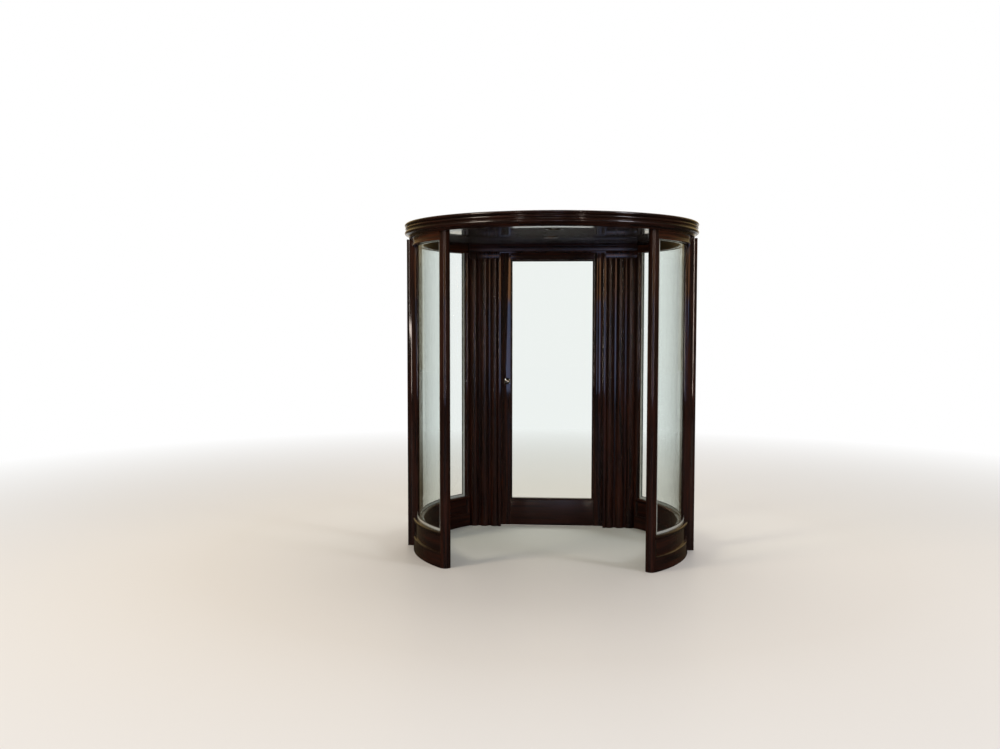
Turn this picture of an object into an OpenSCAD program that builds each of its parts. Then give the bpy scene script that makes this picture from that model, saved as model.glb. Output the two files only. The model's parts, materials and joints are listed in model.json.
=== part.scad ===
// Drum of a timber revolving door with curved glass walls, open to the inside,
// and a glazed leaf hung in a reeded frame across its outer throat.
// Millimetres, +Z up, origin on the floor at the drum's axis; the inside is towards -Y.

/* [Drum] */
// Outside diameter of the drum, over its skirtings
drum_d = 2000; // [1900:10:2600]
// Height from the floor to the underside of the canopy ring
ceiling_h = 2250; // [2100:10:2700]
// Arc of each throat from post to post, in degrees
throat_arc = 91; // [84:1:96]
// Diameter of the round throat posts
post_d = 71; // [50:1:76]

/* [Curved walls] */
// Height of the solid foot of the walls, to the top of its cap rail
kick_h = 242; // [180:1:400]
// Thickness of the kick panels
panel_t = 45; // [30:1:56]
// Width of the skirting over both faces
skirting_w = 75; // [60:1:100]
// Height of the skirting
skirting_h = 105; // [60:1:130]
// Radius of the skirting's upper edges
skirting_edge_r = 9; // [3:1:12]
// Width of the cap rail on the kick panels
cap_w = 80; // [66:1:110]
// Thickness of the cap rail, whose edges are half round
cap_t = 26; // [16:1:32]
// Thickness of the curved glass
glass_t = 12; // [8:1:16]
// Height of the head rail over the curved glass
head_rail_h = 56; // [40:1:120]
// Width of the head rail's body
head_rail_w = 66; // [50:1:80]
// Radius of the beads on the head rail's lower edges
rim_bead_r = 7; // [4:1:10]
// Radius of the cove between the head rail and the cornice
cove_r = 28; // [16:1:32]

/* [Glazing channel] */
// Width of the polished channel that holds the curved glass
channel_w = 20; // [16:1:26]
// Height of the channel on the cap rail
channel_h = 16; // [10:1:24]
// Depth of the channel against the throat post
channel_d = 14; // [9:1:24]
// Thickness of the channel's web
channel_web = 4; // [2:1:6]

/* [Canopy] */
// Height of the cornice
cornice_h = 97; // [80:1:140]
// Projection of the cornice past the drum
cornice_over = 54; // [50:1:90]
// Height of the ceiling's face above the ring's underside
ceiling_rise = 16; // [8:1:24]
// Thickness of the ceiling and roof boards
board_t = 18; // [12:1:24]
// Width of the seat of those boards in the cornice ring
board_seat = 25; // [12:1:40]
// Diameter of the plate at the ceiling's centre
plate_d = 110; // [80:1:160]
// Diameter of the recessed ceiling light's flange
light_d = 118; // [80:1:160]
// Distance of the light to the right of the drum's axis
light_x = 38; // [-200:1:200]
// Distance of the light from the drum's axis towards the inner throat
light_in = 645; // [500:5:780]

/* [Side posts] */
// Projection of the side posts past the drum
side_over = 45; // [36:1:48]
// Depth of the side posts along the passage
side_depth = 120; // [80:1:200]

/* [Outer doorway] */
// Width of the leaf
leaf_w = 830; // [690:1:900]
// Thickness of the leaf
leaf_t = 45; // [36:1:60]
// Gap round the leaf
leaf_gap = 5; // [3:1:8]
// Gap under the leaf
floor_gap = 12; // [6:1:20]
// Height of the head over the leaf
head_h = 45; // [30:1:80]
// Height of the plain capitals over the reeds, below the head
capital_h = 55; // [30:1:120]
// Depth of the head and the capitals
frame_depth = 86; // [80:1:110]
// Thickness of the web that the reeds stand on
web_t = 30; // [22:1:40]
// Width of the flat edge strip beside the leaf
edge_strip_w = 10; // [6:1:14]
// Width of the stops that the leaf closes against
stop_w = 12; // [10:1:16]
// Thickness of the stops
stop_t = 12; // [8:1:14]
// Radius of the stops' rounded edge
stop_edge_r = 5; // [2:1:7]
// Width of a reed with its groove, by which the jambs are divided evenly
reed_w = 82; // [50:1:84]
// Width of the groove between two reeds
reed_groove = 6; // [3:1:14]
// Width of the leaf's stiles
stile_w = 84; // [60:1:120]
// Height of the leaf's top rail
top_rail_h = 58; // [50:1:120]
// Height of the leaf's bottom rail
bottom_rail_h = 207; // [120:1:330]
// Thickness of the leaf's pane
pane_t = 10; // [6:1:12]
// Width of the half-round glazing beads of the leaf
bead_w = 12; // [8:1:16]

/* [Leaf hardware] */
// Height of the knobs above the floor
lock_z = 1175; // [900:5:1200]
// Distance of the knobs from the stile's inner edge
lock_in = 27; // [24:1:34]
// Diameter of the knobs' roses
rose_d = 52; // [38:1:54]
// Diameter of the knobs
knob_d = 46; // [34:1:54]
// Height of the latch's plate in the leaf's edge
latch_plate_h = 110; // [70:1:160]
// Height of the strike plate in the jamb
strike_h = 64; // [50:1:120]
// Distance of the hinge axis from the leaf's outer face
hinge_out = 9; // [8:1:14]
// Height of each hinge
hinge_h = 100; // [75:1:130]
// Radius of the hinge knuckles
knuckle_r = 7; // [6:1:7]

/* [Hidden] */
$fn = 96;
// Clearance between fixed pieces that seat on each other
seat = 0.3;
// Overshoot of cutting tools
cut = 1;
// Running clearance of the hinge pins
pin_play = 0.05;
// Clearance between the closed leaf and its stops
stop_play = 1.5;

wall_r = drum_d / 2 - skirting_w / 2;
wall_a = 90 - throat_arc / 2;
post_r = post_d / 2;
post_x = wall_r * cos(wall_a);
post_y = wall_r * sin(wall_a);
rim_z = ceiling_h - head_rail_h;
// The channels and the doorway's frame end a little inside the posts' outline
butt_in = post_r * 0.6;
butt_a = wall_a - arc_deg(butt_in);
frame_end_x = post_x - butt_in;
// The curved timbers are scribed round the posts to near their centres
wrap_in = 2;
wrap_a = wall_a - arc_deg(wrap_in);

groove_d = 12;
glass_joint = 3;
glass_low = kick_h + channel_web + seat;
glass_top = rim_z + groove_d - seat;
glass_end_a = wall_a - arc_deg(post_r + channel_web + seat);

ring_in = wall_r - post_r;
ring_out = drum_d / 2 + cornice_over;
ceiling_z = ceiling_h + ceiling_rise;
roof_top = ceiling_h + cornice_h;
roof_seat = board_seat + 10;
side_x = drum_d / 2 + side_over;
light_flange_w = 9;
light_can_r = light_d / 2 - light_flange_w;

head_z = ceiling_h - head_h;
capital_z = head_z - capital_h;
opening_x = leaf_w / 2 + leaf_gap;
stop_y = post_y - leaf_t / 2 - stop_play - stop_t;
reed_count = max(1, round((frame_end_x - opening_x) / reed_w));
reed_pitch = (frame_end_x - opening_x) / reed_count;
reed_r = (reed_pitch - reed_groove) / 2;

leaf_top = head_z - leaf_gap;
leaf_h = leaf_top - floor_gap;
rail_low_z = floor_gap + bottom_rail_h;
rail_top_z = leaf_top - top_rail_h;
rail_x = leaf_w / 2 - stile_w;
tongue_d = 10;

hinge_x = leaf_w / 2 + leaf_gap / 2;
hinge_y = post_y + leaf_t / 2 + hinge_out;
hinge_plate_t = 2.2;
hinge_pin_r = 4;
hinge_gap = 0.5;
hinge_from_end = 190;
hinge_zs = [floor_gap + hinge_from_end, (floor_gap + leaf_top) / 2, leaf_top - hinge_from_end];
barrel_h = hinge_h / 3;
hinge_plate_in = 6;
hinge_plate_y = post_y - leaf_t / 2 + hinge_plate_in;

lock_x = -rail_x - lock_in;
spindle_r = 5;
latch_w = 22;
latch_t = 2.5;
bolt_w = 12;
bolt_h = 18;
bolt_out = 2;
pocket_w = bolt_w + 2;
pocket_h = bolt_h + 4;
pocket_d = 16;

MAHOGANY = "#33170f";
MAHOGANY_DARK = "#26110c";
MAHOGANY_GLOSS = "#3f1c12";
CLEAR_GLASS = [0.78, 0.86, 0.84, 0.35];
POLISHED_METAL = "#c9c6be";
BRONZE = "#4a3626";

// Angle in degrees of a length along the wall's centre line
function arc_deg(length) = length / wall_r * 180 / PI;

// Turns a profile of radius and height about the drum's axis
module sweep(from_a, to_a) {
    rotate([0, 0, from_a]) rotate_extrude(angle = to_a - from_a) children();
}

// A rectangle of a wall profile, centred on the wall's centre line
module wall_rect(width, low, high) {
    translate([wall_r - width / 2, low]) square([width, high - low]);
}

// Moves a piece of the rear right quarter to another quarter of the drum
module quarter(side, end) {
    if (side > 0 && end > 0) children();
    else if (side < 0 && end > 0) mirror([1, 0, 0]) children();
    else if (side > 0) mirror([0, 1, 0]) children();
    else rotate([0, 0, 180]) children();
}

// The rear right throat post's outline, grown by a clearance
module post_solid(grow = 0, low = 0, high = ceiling_h) {
    translate([post_x, post_y, low]) cylinder(h = high - low, r = post_r + grow);
}

// Kick panel with a skirting whose upper edges are rounded
module kick_profile(grow = 0) {
    wall_rect(panel_t + 2 * grow, 0, kick_h - cap_t);
    wall_rect(skirting_w + 2 * grow, 0, skirting_h - skirting_edge_r);
    wall_rect(skirting_w - 2 * skirting_edge_r, 0, skirting_h + grow);
    for (side = [-1, 1])
        translate([wall_r + side * (skirting_w / 2 - skirting_edge_r), skirting_h - skirting_edge_r])
            circle(r = skirting_edge_r + grow);
}

// Cap rail with half-round edges
module cap_profile(grow = 0) {
    wall_rect(cap_w - cap_t, kick_h - cap_t - grow, kick_h + grow);
    for (side = [-1, 1])
        translate([wall_r + side * (cap_w - cap_t) / 2, kick_h - cap_t / 2])
            circle(r = cap_t / 2 + grow);
}

// Head rail: a body, a bead along each lower edge and an outer cove under the cornice
module head_rail_profile(grow = 0) {
    outer = wall_r + head_rail_w / 2 + grow;
    wall_rect(head_rail_w + 2 * grow, rim_z - grow, ceiling_h);
    for (side = [-1, 1])
        translate([wall_r + side * head_rail_w / 2, rim_z + rim_bead_r])
            circle(r = rim_bead_r + grow);
    difference() {
        translate([outer - cut, ceiling_h - cove_r - grow]) square([cove_r + cut, cove_r + grow]);
        translate([outer + cove_r, ceiling_h - cove_r - grow]) circle(r = cove_r);
    }
}

// Canopy

// Cornice ring: two ridges at the top, a recess and a heavier bead outside,
// and a groove for the ceiling and a rebate for the roof inside
module cornice_profile() {
    body_set = 15;
    body_out = ring_out - body_set;
    ridge_r = 11;
    low_ridge_r = 9;
    low_ridge_set = 4;
    ridge_step = 24;
    bead_r = 14;
    hollow_r = 18;
    hollow_set = 3;
    difference() {
        union() {
            translate([ring_in, ceiling_h]) square([body_out - ring_in, cornice_h]);
            translate([ring_out - ridge_r, roof_top - ridge_r]) circle(r = ridge_r);
            translate([ring_out - low_ridge_r - low_ridge_set, roof_top - ridge_r - ridge_step])
                circle(r = low_ridge_r);
            translate([ring_out - bead_r, ceiling_h + hollow_r + bead_r]) circle(r = bead_r);
        }
        translate([ring_in - cut, ceiling_z]) square([board_seat + cut, board_t + seat]);
        translate([ring_in - cut, roof_top - board_t]) square([roof_seat + cut, board_t + cut]);
        translate([body_out + hollow_set, ceiling_h]) circle(r = hollow_r);
    }
}

module cornice() {
    color(MAHOGANY) rotate_extrude() cornice_profile();
}

module roof_board() {
    color(MAHOGANY_DARK) translate([0, 0, roof_top - board_t])
        cylinder(h = board_t, r = ring_in + roof_seat - seat);
}

module ceiling() {
    color(MAHOGANY_GLOSS) difference() {
        translate([0, 0, ceiling_z]) cylinder(h = board_t, r = ring_in + board_seat - seat);
        translate([light_x, -light_in, ceiling_z - cut])
            cylinder(h = board_t + 2 * cut, r = light_can_r + seat);
    }
}

// Recessed light: a flange under the ceiling and a can above it, open downwards
module ceiling_light() {
    can_h = 48;
    wall = 3;
    color(BRONZE) translate([light_x, -light_in, ceiling_z]) rotate_extrude() difference() {
        union() {
            translate([0, -wall]) square([light_d / 2, wall - seat]);
            translate([0, -wall]) square([light_can_r, can_h + wall]);
        }
        translate([-cut, -wall - cut]) square([light_can_r - wall + cut, can_h + cut]);
    }
}

// Blank plate over the bearing's place at the drum's axis
module bearing_plate() {
    plate_t = 5;
    boss_r = 19;
    boss_h = 6;
    color(BRONZE) translate([0, 0, ceiling_z - plate_t]) {
        cylinder(h = plate_t, r = plate_d / 2);
        translate([0, 0, -boss_h]) cylinder(h = boss_h, r = boss_r);
    }
}

// Posts

module throat_post() {
    color(MAHOGANY) post_solid();
}

// Side post, scribed to the curved wall that passes inside it
module side_post() {
    reach_a = 2 * asin(side_depth / drum_d);
    color(MAHOGANY_DARK) difference() {
        translate([wall_r, -side_depth / 2, 0]) cube([side_x - wall_r, side_depth, ceiling_h]);
        sweep(-reach_a, reach_a) {
            wall_rect(glass_t + 2 * seat, -cut, ceiling_h + cut);
            wall_rect(channel_w + 2 * seat, kick_h - cut, kick_h + channel_h + seat);
            kick_profile(seat);
            cap_profile(seat);
            head_rail_profile(seat);
        }
    }
}

// Curved walls, all drawn for the rear right quarter

module kick_panel() {
    color(MAHOGANY) difference() {
        sweep(0, wrap_a) kick_profile();
        post_solid(seat, -cut, kick_h + cut);
    }
}

module kick_cap() {
    color(MAHOGANY_GLOSS) difference() {
        sweep(0, wrap_a) cap_profile();
        post_solid(seat, 0, kick_h + cut);
    }
}

module glazing_channel() {
    slot_w = glass_t + 2 * seat;
    color(POLISHED_METAL) difference() {
        sweep(0, butt_a) wall_rect(channel_w, kick_h, rim_z);
        sweep(-1, wall_a - arc_deg(post_r + channel_d))
            wall_rect(channel_w + 2 * cut, kick_h + channel_h, rim_z + cut);
        sweep(-1, glass_end_a + arc_deg(seat)) wall_rect(slot_w, kick_h + channel_web, rim_z + cut);
        post_solid(seat, 0, ceiling_h);
    }
}

module curved_glass() {
    color(CLEAR_GLASS)
        sweep(arc_deg(glass_joint / 2), glass_end_a) wall_rect(glass_t, glass_low, glass_top);
}

module head_rail() {
    color(MAHOGANY) difference() {
        sweep(0, wrap_a) difference() {
            head_rail_profile();
            wall_rect(glass_t + 2 * seat, rim_z - cut, rim_z + groove_d);
        }
        post_solid(seat, 0, ceiling_h + cut);
    }
}

// Outer doorway

// Reeded jamb, drawn for the right side: the last reed is scribed to the post,
// and a capital covers them all
module jamb() {
    color(MAHOGANY) difference() {
        union() {
            translate([opening_x, post_y - web_t / 2, 0])
                cube([frame_end_x - opening_x, web_t, head_z]);
            translate([opening_x, stop_y, 0])
                cube([edge_strip_w, post_y + leaf_t / 2 - stop_y, head_z]);
            translate([opening_x, post_y - frame_depth / 2, capital_z])
                cube([frame_end_x - opening_x, frame_depth, capital_h]);
            for (i = [0 : reed_count - 1])
                translate([opening_x + reed_pitch * (i + 0.5), post_y, 0])
                    cylinder(h = capital_z, r = reed_r);
        }
        post_solid(seat, -cut, ceiling_h);
        head_rail_space();
    }
}

// The rear right head rail's place, which the jamb and the head are scribed to
module head_rail_space() {
    sweep(0, wall_a) head_rail_profile(seat);
}

// The right jamb is let in for its hinge plates
module hinge_jamb() {
    color(MAHOGANY) difference() {
        jamb();
        for (z = hinge_zs)
            translate([opening_x - cut, hinge_plate_y - seat, z - hinge_h / 2 - seat])
                cube([hinge_plate_t + seat + cut, leaf_t, hinge_h + 2 * seat]);
    }
}

// The left jamb is let in for the strike plate, with a pocket for the bolt behind it
module strike_jamb() {
    color(MAHOGANY) difference() {
        quarter(-1, 1) jamb();
        edge_box(-opening_x + cut, latch_t + seat + cut, latch_w + 2 * seat, strike_h + 2 * seat);
        edge_box(-opening_x + cut, pocket_d + cut, pocket_w, pocket_h);
    }
}

// A box let into the left jamb from x, centred on the leaf's thickness and the knobs' height
module edge_box(x, depth, width, height) {
    translate([x - depth, post_y - width / 2, lock_z - height / 2]) cube([depth, width, height]);
}

// Plate round the bolt's pocket, flush with the jamb's edge
module strike_plate() {
    color(POLISHED_METAL) difference() {
        edge_box(-opening_x, latch_t, latch_w, strike_h);
        edge_box(-opening_x + cut, latch_t + 2 * cut, pocket_w, pocket_h);
    }
}

// Head on the jambs, with a fillet that closes the joint to the ceiling inside the ring
module doorway_head() {
    fillet_set = 8;
    fillet_depth = frame_depth - 2 * fillet_set;
    color(MAHOGANY) difference() {
        union() {
            translate([-frame_end_x, post_y - frame_depth / 2, head_z])
                cube([2 * frame_end_x, frame_depth, head_h]);
            intersection() {
                translate([-frame_end_x, post_y - fillet_depth / 2, head_z])
                    cube([2 * frame_end_x, fillet_depth, head_h + ceiling_rise]);
                cylinder(h = ceiling_z, r = ring_in - seat);
            }
        }
        for (side = [1, -1]) quarter(side, 1) {
            post_solid(seat, 0, ceiling_z + cut);
            head_rail_space();
        }
    }
}

// Stops that the leaf closes against: two uprights and a head piece, mitred in the corners
module door_stops() {
    color(MAHOGANY_GLOSS) {
        for (side = [0, 1]) mirror([side, 0, 0]) difference() {
            translate([opening_x, stop_y, 0]) linear_extrude(head_z) stop_profile();
            mitre_space(0);
        }
        intersection() {
            translate([-opening_x, stop_y, head_z]) rotate([90, 0, 90])
                linear_extrude(2 * opening_x) mirror([1, -1, 0]) stop_profile();
            mitre_space(seat);
            mirror([1, 0, 0]) mitre_space(seat);
        }
    }
}

// A stop's section, to the left of the origin, with its room edge rounded
module stop_profile() {
    difference() {
        translate([-stop_w, 0]) square([stop_w, stop_t]);
        translate([-stop_w, 0]) difference() {
            square(2 * stop_edge_r, center = true);
            translate([stop_edge_r, stop_edge_r]) circle(r = stop_edge_r);
        }
    }
}

// The space over the mitre in the right corner of the opening, raised by a clearance
module mitre_space(raise) {
    translate([opening_x, stop_y - cut, head_z + raise]) rotate([0, -45, 0])
        translate([-4 * opening_x, 0, 0]) cube([8 * opening_x, stop_t + 2 * cut, 4 * opening_x]);
}

// Knuckles above and below the leaf's own, with the pin through all three
module jamb_hinges() {
    color(BRONZE) for (z = hinge_zs) {
        difference() {
            union() {
                translate([hinge_x, hinge_y, z - 1.5 * barrel_h])
                    cylinder(h = barrel_h - hinge_gap, r = knuckle_r);
                translate([hinge_x, hinge_y, z + 0.5 * barrel_h + hinge_gap])
                    cylinder(h = barrel_h - hinge_gap, r = knuckle_r);
                translate([opening_x, hinge_plate_y, z - hinge_h / 2])
                    cube([hinge_plate_t, hinge_y - hinge_plate_y, hinge_h]);
            }
            translate([hinge_x, hinge_y, z - barrel_h / 2])
                cylinder(h = barrel_h, r = knuckle_r + hinge_gap);
        }
        translate([hinge_x, hinge_y, z - hinge_h / 2]) cylinder(h = hinge_h, r = hinge_pin_r);
    }
}

// Leaf

// Stile for the right side, grooved for the pane
module stile() {
    difference() {
        translate([rail_x, post_y - leaf_t / 2, floor_gap]) cube([stile_w, leaf_t, leaf_h]);
        translate([rail_x - cut, post_y - pane_t / 2 - seat, rail_low_z - groove_d])
            cube([groove_d + cut, pane_t + 2 * seat, rail_top_z - rail_low_z + 2 * groove_d]);
    }
}

module leaf_hinge_stile() {
    color(MAHOGANY) difference() {
        stile();
        for (z = hinge_zs)
            translate([leaf_w / 2 - hinge_plate_t - seat, hinge_plate_y - seat, z - hinge_h / 2 - seat])
                cube([hinge_plate_t + seat + cut, leaf_t, hinge_h + 2 * seat]);
    }
}

module leaf_lock_stile() {
    color(MAHOGANY) difference() {
        mirror([1, 0, 0]) stile();
        translate([lock_x, post_y - leaf_t, lock_z]) rotate([-90, 0, 0])
            cylinder(h = 2 * leaf_t, r = spindle_r + seat);
        translate([-leaf_w / 2 - cut, post_y - latch_w / 2 - seat, lock_z - latch_plate_h / 2 - seat])
            cube([latch_t + seat + cut, latch_w + 2 * seat, latch_plate_h + 2 * seat]);
    }
}

// A rail between the stiles, grooved on its inner edge for the pane
module rail(low, high, groove_low) {
    color(MAHOGANY) difference() {
        translate([-rail_x, post_y - leaf_t / 2, low]) cube([2 * rail_x, leaf_t, high - low]);
        translate([-rail_x - cut, post_y - pane_t / 2 - seat, groove_low])
            cube([2 * (rail_x + cut), pane_t + 2 * seat, groove_d + cut]);
    }
}

module leaf_bottom_rail() {
    rail(floor_gap, rail_low_z, rail_low_z - groove_d);
}

module leaf_top_rail() {
    rail(rail_top_z, leaf_top, rail_top_z - cut);
}

module leaf_pane() {
    edge = tongue_d;
    color(CLEAR_GLASS) translate([-rail_x - edge, post_y - pane_t / 2, rail_low_z - edge])
        cube([2 * (rail_x + edge), pane_t, rail_top_z - rail_low_z + 2 * edge]);
}

// Half-round beads round the pane, on both its faces
module leaf_beads() {
    bead_r = bead_w / 2;
    bead_set = 2;
    bead_depth = (leaf_t - pane_t) / 2 - bead_r - bead_set;
    x = rail_x - bead_r - seat;
    zs = [rail_low_z + bead_r + seat, rail_top_z - bead_r - seat];
    color(MAHOGANY_GLOSS) for (face = [-1, 1]) {
        y = post_y + face * (pane_t / 2 + seat + bead_depth);
        base_y = face > 0 ? y - bead_depth : y;
        for (side = [-1, 1]) {
            translate([side * x - bead_r, base_y, zs[0] - bead_r])
                cube([bead_w, bead_depth, zs[1] - zs[0] + bead_w]);
            translate([side * x, y, zs[0]]) cylinder(h = zs[1] - zs[0], r = bead_r);
        }
        for (z = zs) {
            translate([-x, base_y, z - bead_r]) cube([2 * x, bead_depth, bead_w]);
            translate([-x, y, z]) rotate([0, 90, 0]) cylinder(h = 2 * x, r = bead_r);
            for (side = [-1, 1]) translate([side * x, y, z]) sphere(r = bead_r);
        }
    }
}

module leaf_hinges() {
    color(BRONZE) for (z = hinge_zs) difference() {
        union() {
            translate([hinge_x, hinge_y, z - barrel_h / 2 + hinge_gap])
                cylinder(h = barrel_h - 2 * hinge_gap, r = knuckle_r);
            translate([leaf_w / 2 - hinge_plate_t, hinge_plate_y, z - barrel_h / 2 + hinge_gap])
                cube([hinge_plate_t, hinge_y - hinge_plate_y, barrel_h - 2 * hinge_gap]);
            translate([leaf_w / 2 - hinge_plate_t, hinge_plate_y, z - hinge_h / 2])
                cube([hinge_plate_t, post_y + leaf_t / 2 - hinge_plate_y, hinge_h]);
        }
        translate([hinge_x, hinge_y, z - hinge_h]) cylinder(h = 2 * hinge_h, r = hinge_pin_r + pin_play);
    }
}

// A knob on each face with the spindle between them, and the latch's plate with its bolt drawn back
module leaf_lock() {
    color(POLISHED_METAL) {
        for (face = [-1, 1])
            translate([lock_x, post_y + face * leaf_t / 2, lock_z]) rotate([-90 * face, 0, 0]) knob();
        translate([lock_x, post_y - leaf_t / 2 - cut, lock_z]) rotate([-90, 0, 0])
            cylinder(h = leaf_t + 2 * cut, r = spindle_r);
        translate([-leaf_w / 2, post_y - latch_w / 2, lock_z - latch_plate_h / 2])
            cube([latch_t, latch_w, latch_plate_h]);
        translate([-leaf_w / 2 - bolt_out, post_y - bolt_w / 2, lock_z - bolt_h / 2])
            cube([bolt_out + cut, bolt_w, bolt_h]);
    }
}

// A rose with a rounded rim, a waisted neck and a flattened ball with a domed face, turned about +Z
module knob() {
    rose_t = 4;
    rim_r = rose_t / 2;
    neck_r = 10;
    neck_h = 20;
    waist_d = 3;
    waist_r = 15;
    ball_t = 24;
    ball_z = rose_t + neck_h;
    rotate_extrude() intersection() {
        union() {
            square([rose_d / 2 - rim_r, rose_t]);
            translate([rose_d / 2 - rim_r, rim_r]) circle(r = rim_r);
            difference() {
                square([neck_r, ball_z + cut]);
                translate([neck_r + waist_r - waist_d, rose_t + neck_h / 2]) circle(r = waist_r);
            }
            intersection() {
                translate([0, ball_z]) square([knob_d / 2, ball_t]);
                translate([0, ball_z + ball_t / 2]) circle(r = knob_d / 2);
                translate([0, ball_z + ball_t - knob_d]) circle(r = knob_d);
            }
        }
        square([knob_d, 2 * ball_z + ball_t]);
    }
}

roof_board();
cornice();
ceiling();
ceiling_light();
bearing_plate();
mirror([1, 0, 0]) side_post();  // left_side_post
side_post();  // right_side_post
quarter(-1, -1) throat_post();  // front_left_post
quarter(1, -1) throat_post();  // front_right_post
quarter(-1, 1) throat_post();  // rear_left_post
quarter(1, 1) throat_post();  // rear_right_post
quarter(-1, -1) kick_panel();  // front_left_kick
quarter(1, -1) kick_panel();  // front_right_kick
quarter(-1, 1) kick_panel();  // rear_left_kick
quarter(1, 1) kick_panel();  // rear_right_kick
quarter(-1, -1) kick_cap();  // front_left_cap
quarter(1, -1) kick_cap();  // front_right_cap
quarter(-1, 1) kick_cap();  // rear_left_cap
quarter(1, 1) kick_cap();  // rear_right_cap
quarter(-1, -1) glazing_channel();  // front_left_channel
quarter(1, -1) glazing_channel();  // front_right_channel
quarter(-1, 1) glazing_channel();  // rear_left_channel
quarter(1, 1) glazing_channel();  // rear_right_channel
quarter(-1, -1) curved_glass();  // front_left_glass
quarter(1, -1) curved_glass();  // front_right_glass
quarter(-1, 1) curved_glass();  // rear_left_glass
quarter(1, 1) curved_glass();  // rear_right_glass
quarter(-1, -1) head_rail();  // front_left_head_rail
quarter(1, -1) head_rail();  // front_right_head_rail
quarter(-1, 1) head_rail();  // rear_left_head_rail
quarter(1, 1) head_rail();  // rear_right_head_rail
strike_jamb();  // left_jamb
hinge_jamb();  // right_jamb
doorway_head();
door_stops();
jamb_hinges();
strike_plate();
leaf_lock_stile();
leaf_hinge_stile();
leaf_top_rail();
leaf_bottom_rail();
leaf_pane();
leaf_beads();
leaf_hinges();
leaf_lock();
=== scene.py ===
import json
import logging
import math
from dataclasses import dataclass, field
from enum import Enum
from typing import Callable, Iterable, Optional, Union

import bmesh
import bpy
from mathutils import Matrix, Vector


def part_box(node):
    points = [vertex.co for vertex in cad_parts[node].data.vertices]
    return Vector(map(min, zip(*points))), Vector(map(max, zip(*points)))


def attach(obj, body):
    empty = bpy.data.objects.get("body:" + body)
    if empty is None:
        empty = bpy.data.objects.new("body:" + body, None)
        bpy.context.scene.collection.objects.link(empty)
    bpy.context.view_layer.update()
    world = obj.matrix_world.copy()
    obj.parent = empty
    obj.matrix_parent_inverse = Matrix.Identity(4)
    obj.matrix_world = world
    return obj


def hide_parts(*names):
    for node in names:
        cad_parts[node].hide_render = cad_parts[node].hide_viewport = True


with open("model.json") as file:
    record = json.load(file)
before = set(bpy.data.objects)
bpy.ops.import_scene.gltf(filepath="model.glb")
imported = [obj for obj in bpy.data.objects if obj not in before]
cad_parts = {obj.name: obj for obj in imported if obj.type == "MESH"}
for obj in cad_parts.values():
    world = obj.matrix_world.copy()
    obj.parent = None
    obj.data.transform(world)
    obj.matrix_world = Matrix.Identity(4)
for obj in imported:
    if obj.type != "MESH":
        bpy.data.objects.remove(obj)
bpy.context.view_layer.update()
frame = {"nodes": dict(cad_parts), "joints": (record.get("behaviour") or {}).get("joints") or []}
log = logging.getLogger("drum")

MM = 0.001
PHOTO_WIDTH = 1000
DOUBLES_WITHIN = 0.01 * MM
SMOOTH_UNDER = math.radians(35)
Colour = tuple[float, float, float, float]
Source = Union[bpy.types.Node, bpy.types.NodeSocket]


class Body(Enum):
    """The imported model's bodies."""

    DRUM = "drum"
    LEAF = "leaf"


class Slot(Enum):
    """The record's material slots."""

    MAHOGANY = "mahogany"
    GLASS = "glass"
    STEEL = "polished_steel"
    BRONZE = "bronze"


class Grain(Enum):
    """Which way the timber's grain runs on a piece."""

    UPRIGHT = "upright"
    ACROSS = "across"
    ROUND = "round"


def linear(hex_colour: str) -> Colour:
    """Turn an sRGB hex colour into linear red, green, blue and an alpha of 1.

    Args:
        hex_colour: Six hex digits after a hash sign.

    Returns:
        The linear colour that shader sockets take.
    """
    channels = [int(hex_colour[i:i + 2], 16) / 255 for i in (1, 3, 5)]
    red, green, blue = (c / 12.92 if c <= 0.04045 else ((c + 0.055) / 1.055) ** 2.4 for c in channels)
    return red, green, blue, 1.0


def add(tree: bpy.types.NodeTree, kind: str, inputs: Optional[dict] = None, **settings: object) -> bpy.types.Node:
    """Add a node with its settings and links.

    Args:
        tree: The node tree that gets the node.
        kind: The node's type, without the ShaderNode that all begin with.
        inputs: For each input name or number, a value, the output socket that feeds it, or the node that feeds it
            with its first output in use.
        **settings: The node's own properties.

    Returns:
        The new node.
    """
    node = tree.nodes.new(f"ShaderNode{kind}")
    for name, value in settings.items():
        setattr(node, name, value)
    for key, value in (inputs or {}).items():
        if isinstance(value, bpy.types.Node):
            value = next(output for output in value.outputs if output.enabled)
        if isinstance(value, bpy.types.NodeSocket):
            tree.links.new(value, node.inputs[key])
        else:
            node.inputs[key].default_value = value
    return node


def blank(name: str) -> tuple[bpy.types.Material, bpy.types.NodeTree, bpy.types.Node]:
    """Make a material that holds only its output node.

    Args:
        name: The material's name.

    Returns:
        The material, its node tree and its output node.
    """
    material = bpy.data.materials.new(name)
    material.use_nodes = True
    tree = material.node_tree
    tree.nodes.clear()
    return material, tree, add(tree, "OutputMaterial")


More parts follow.
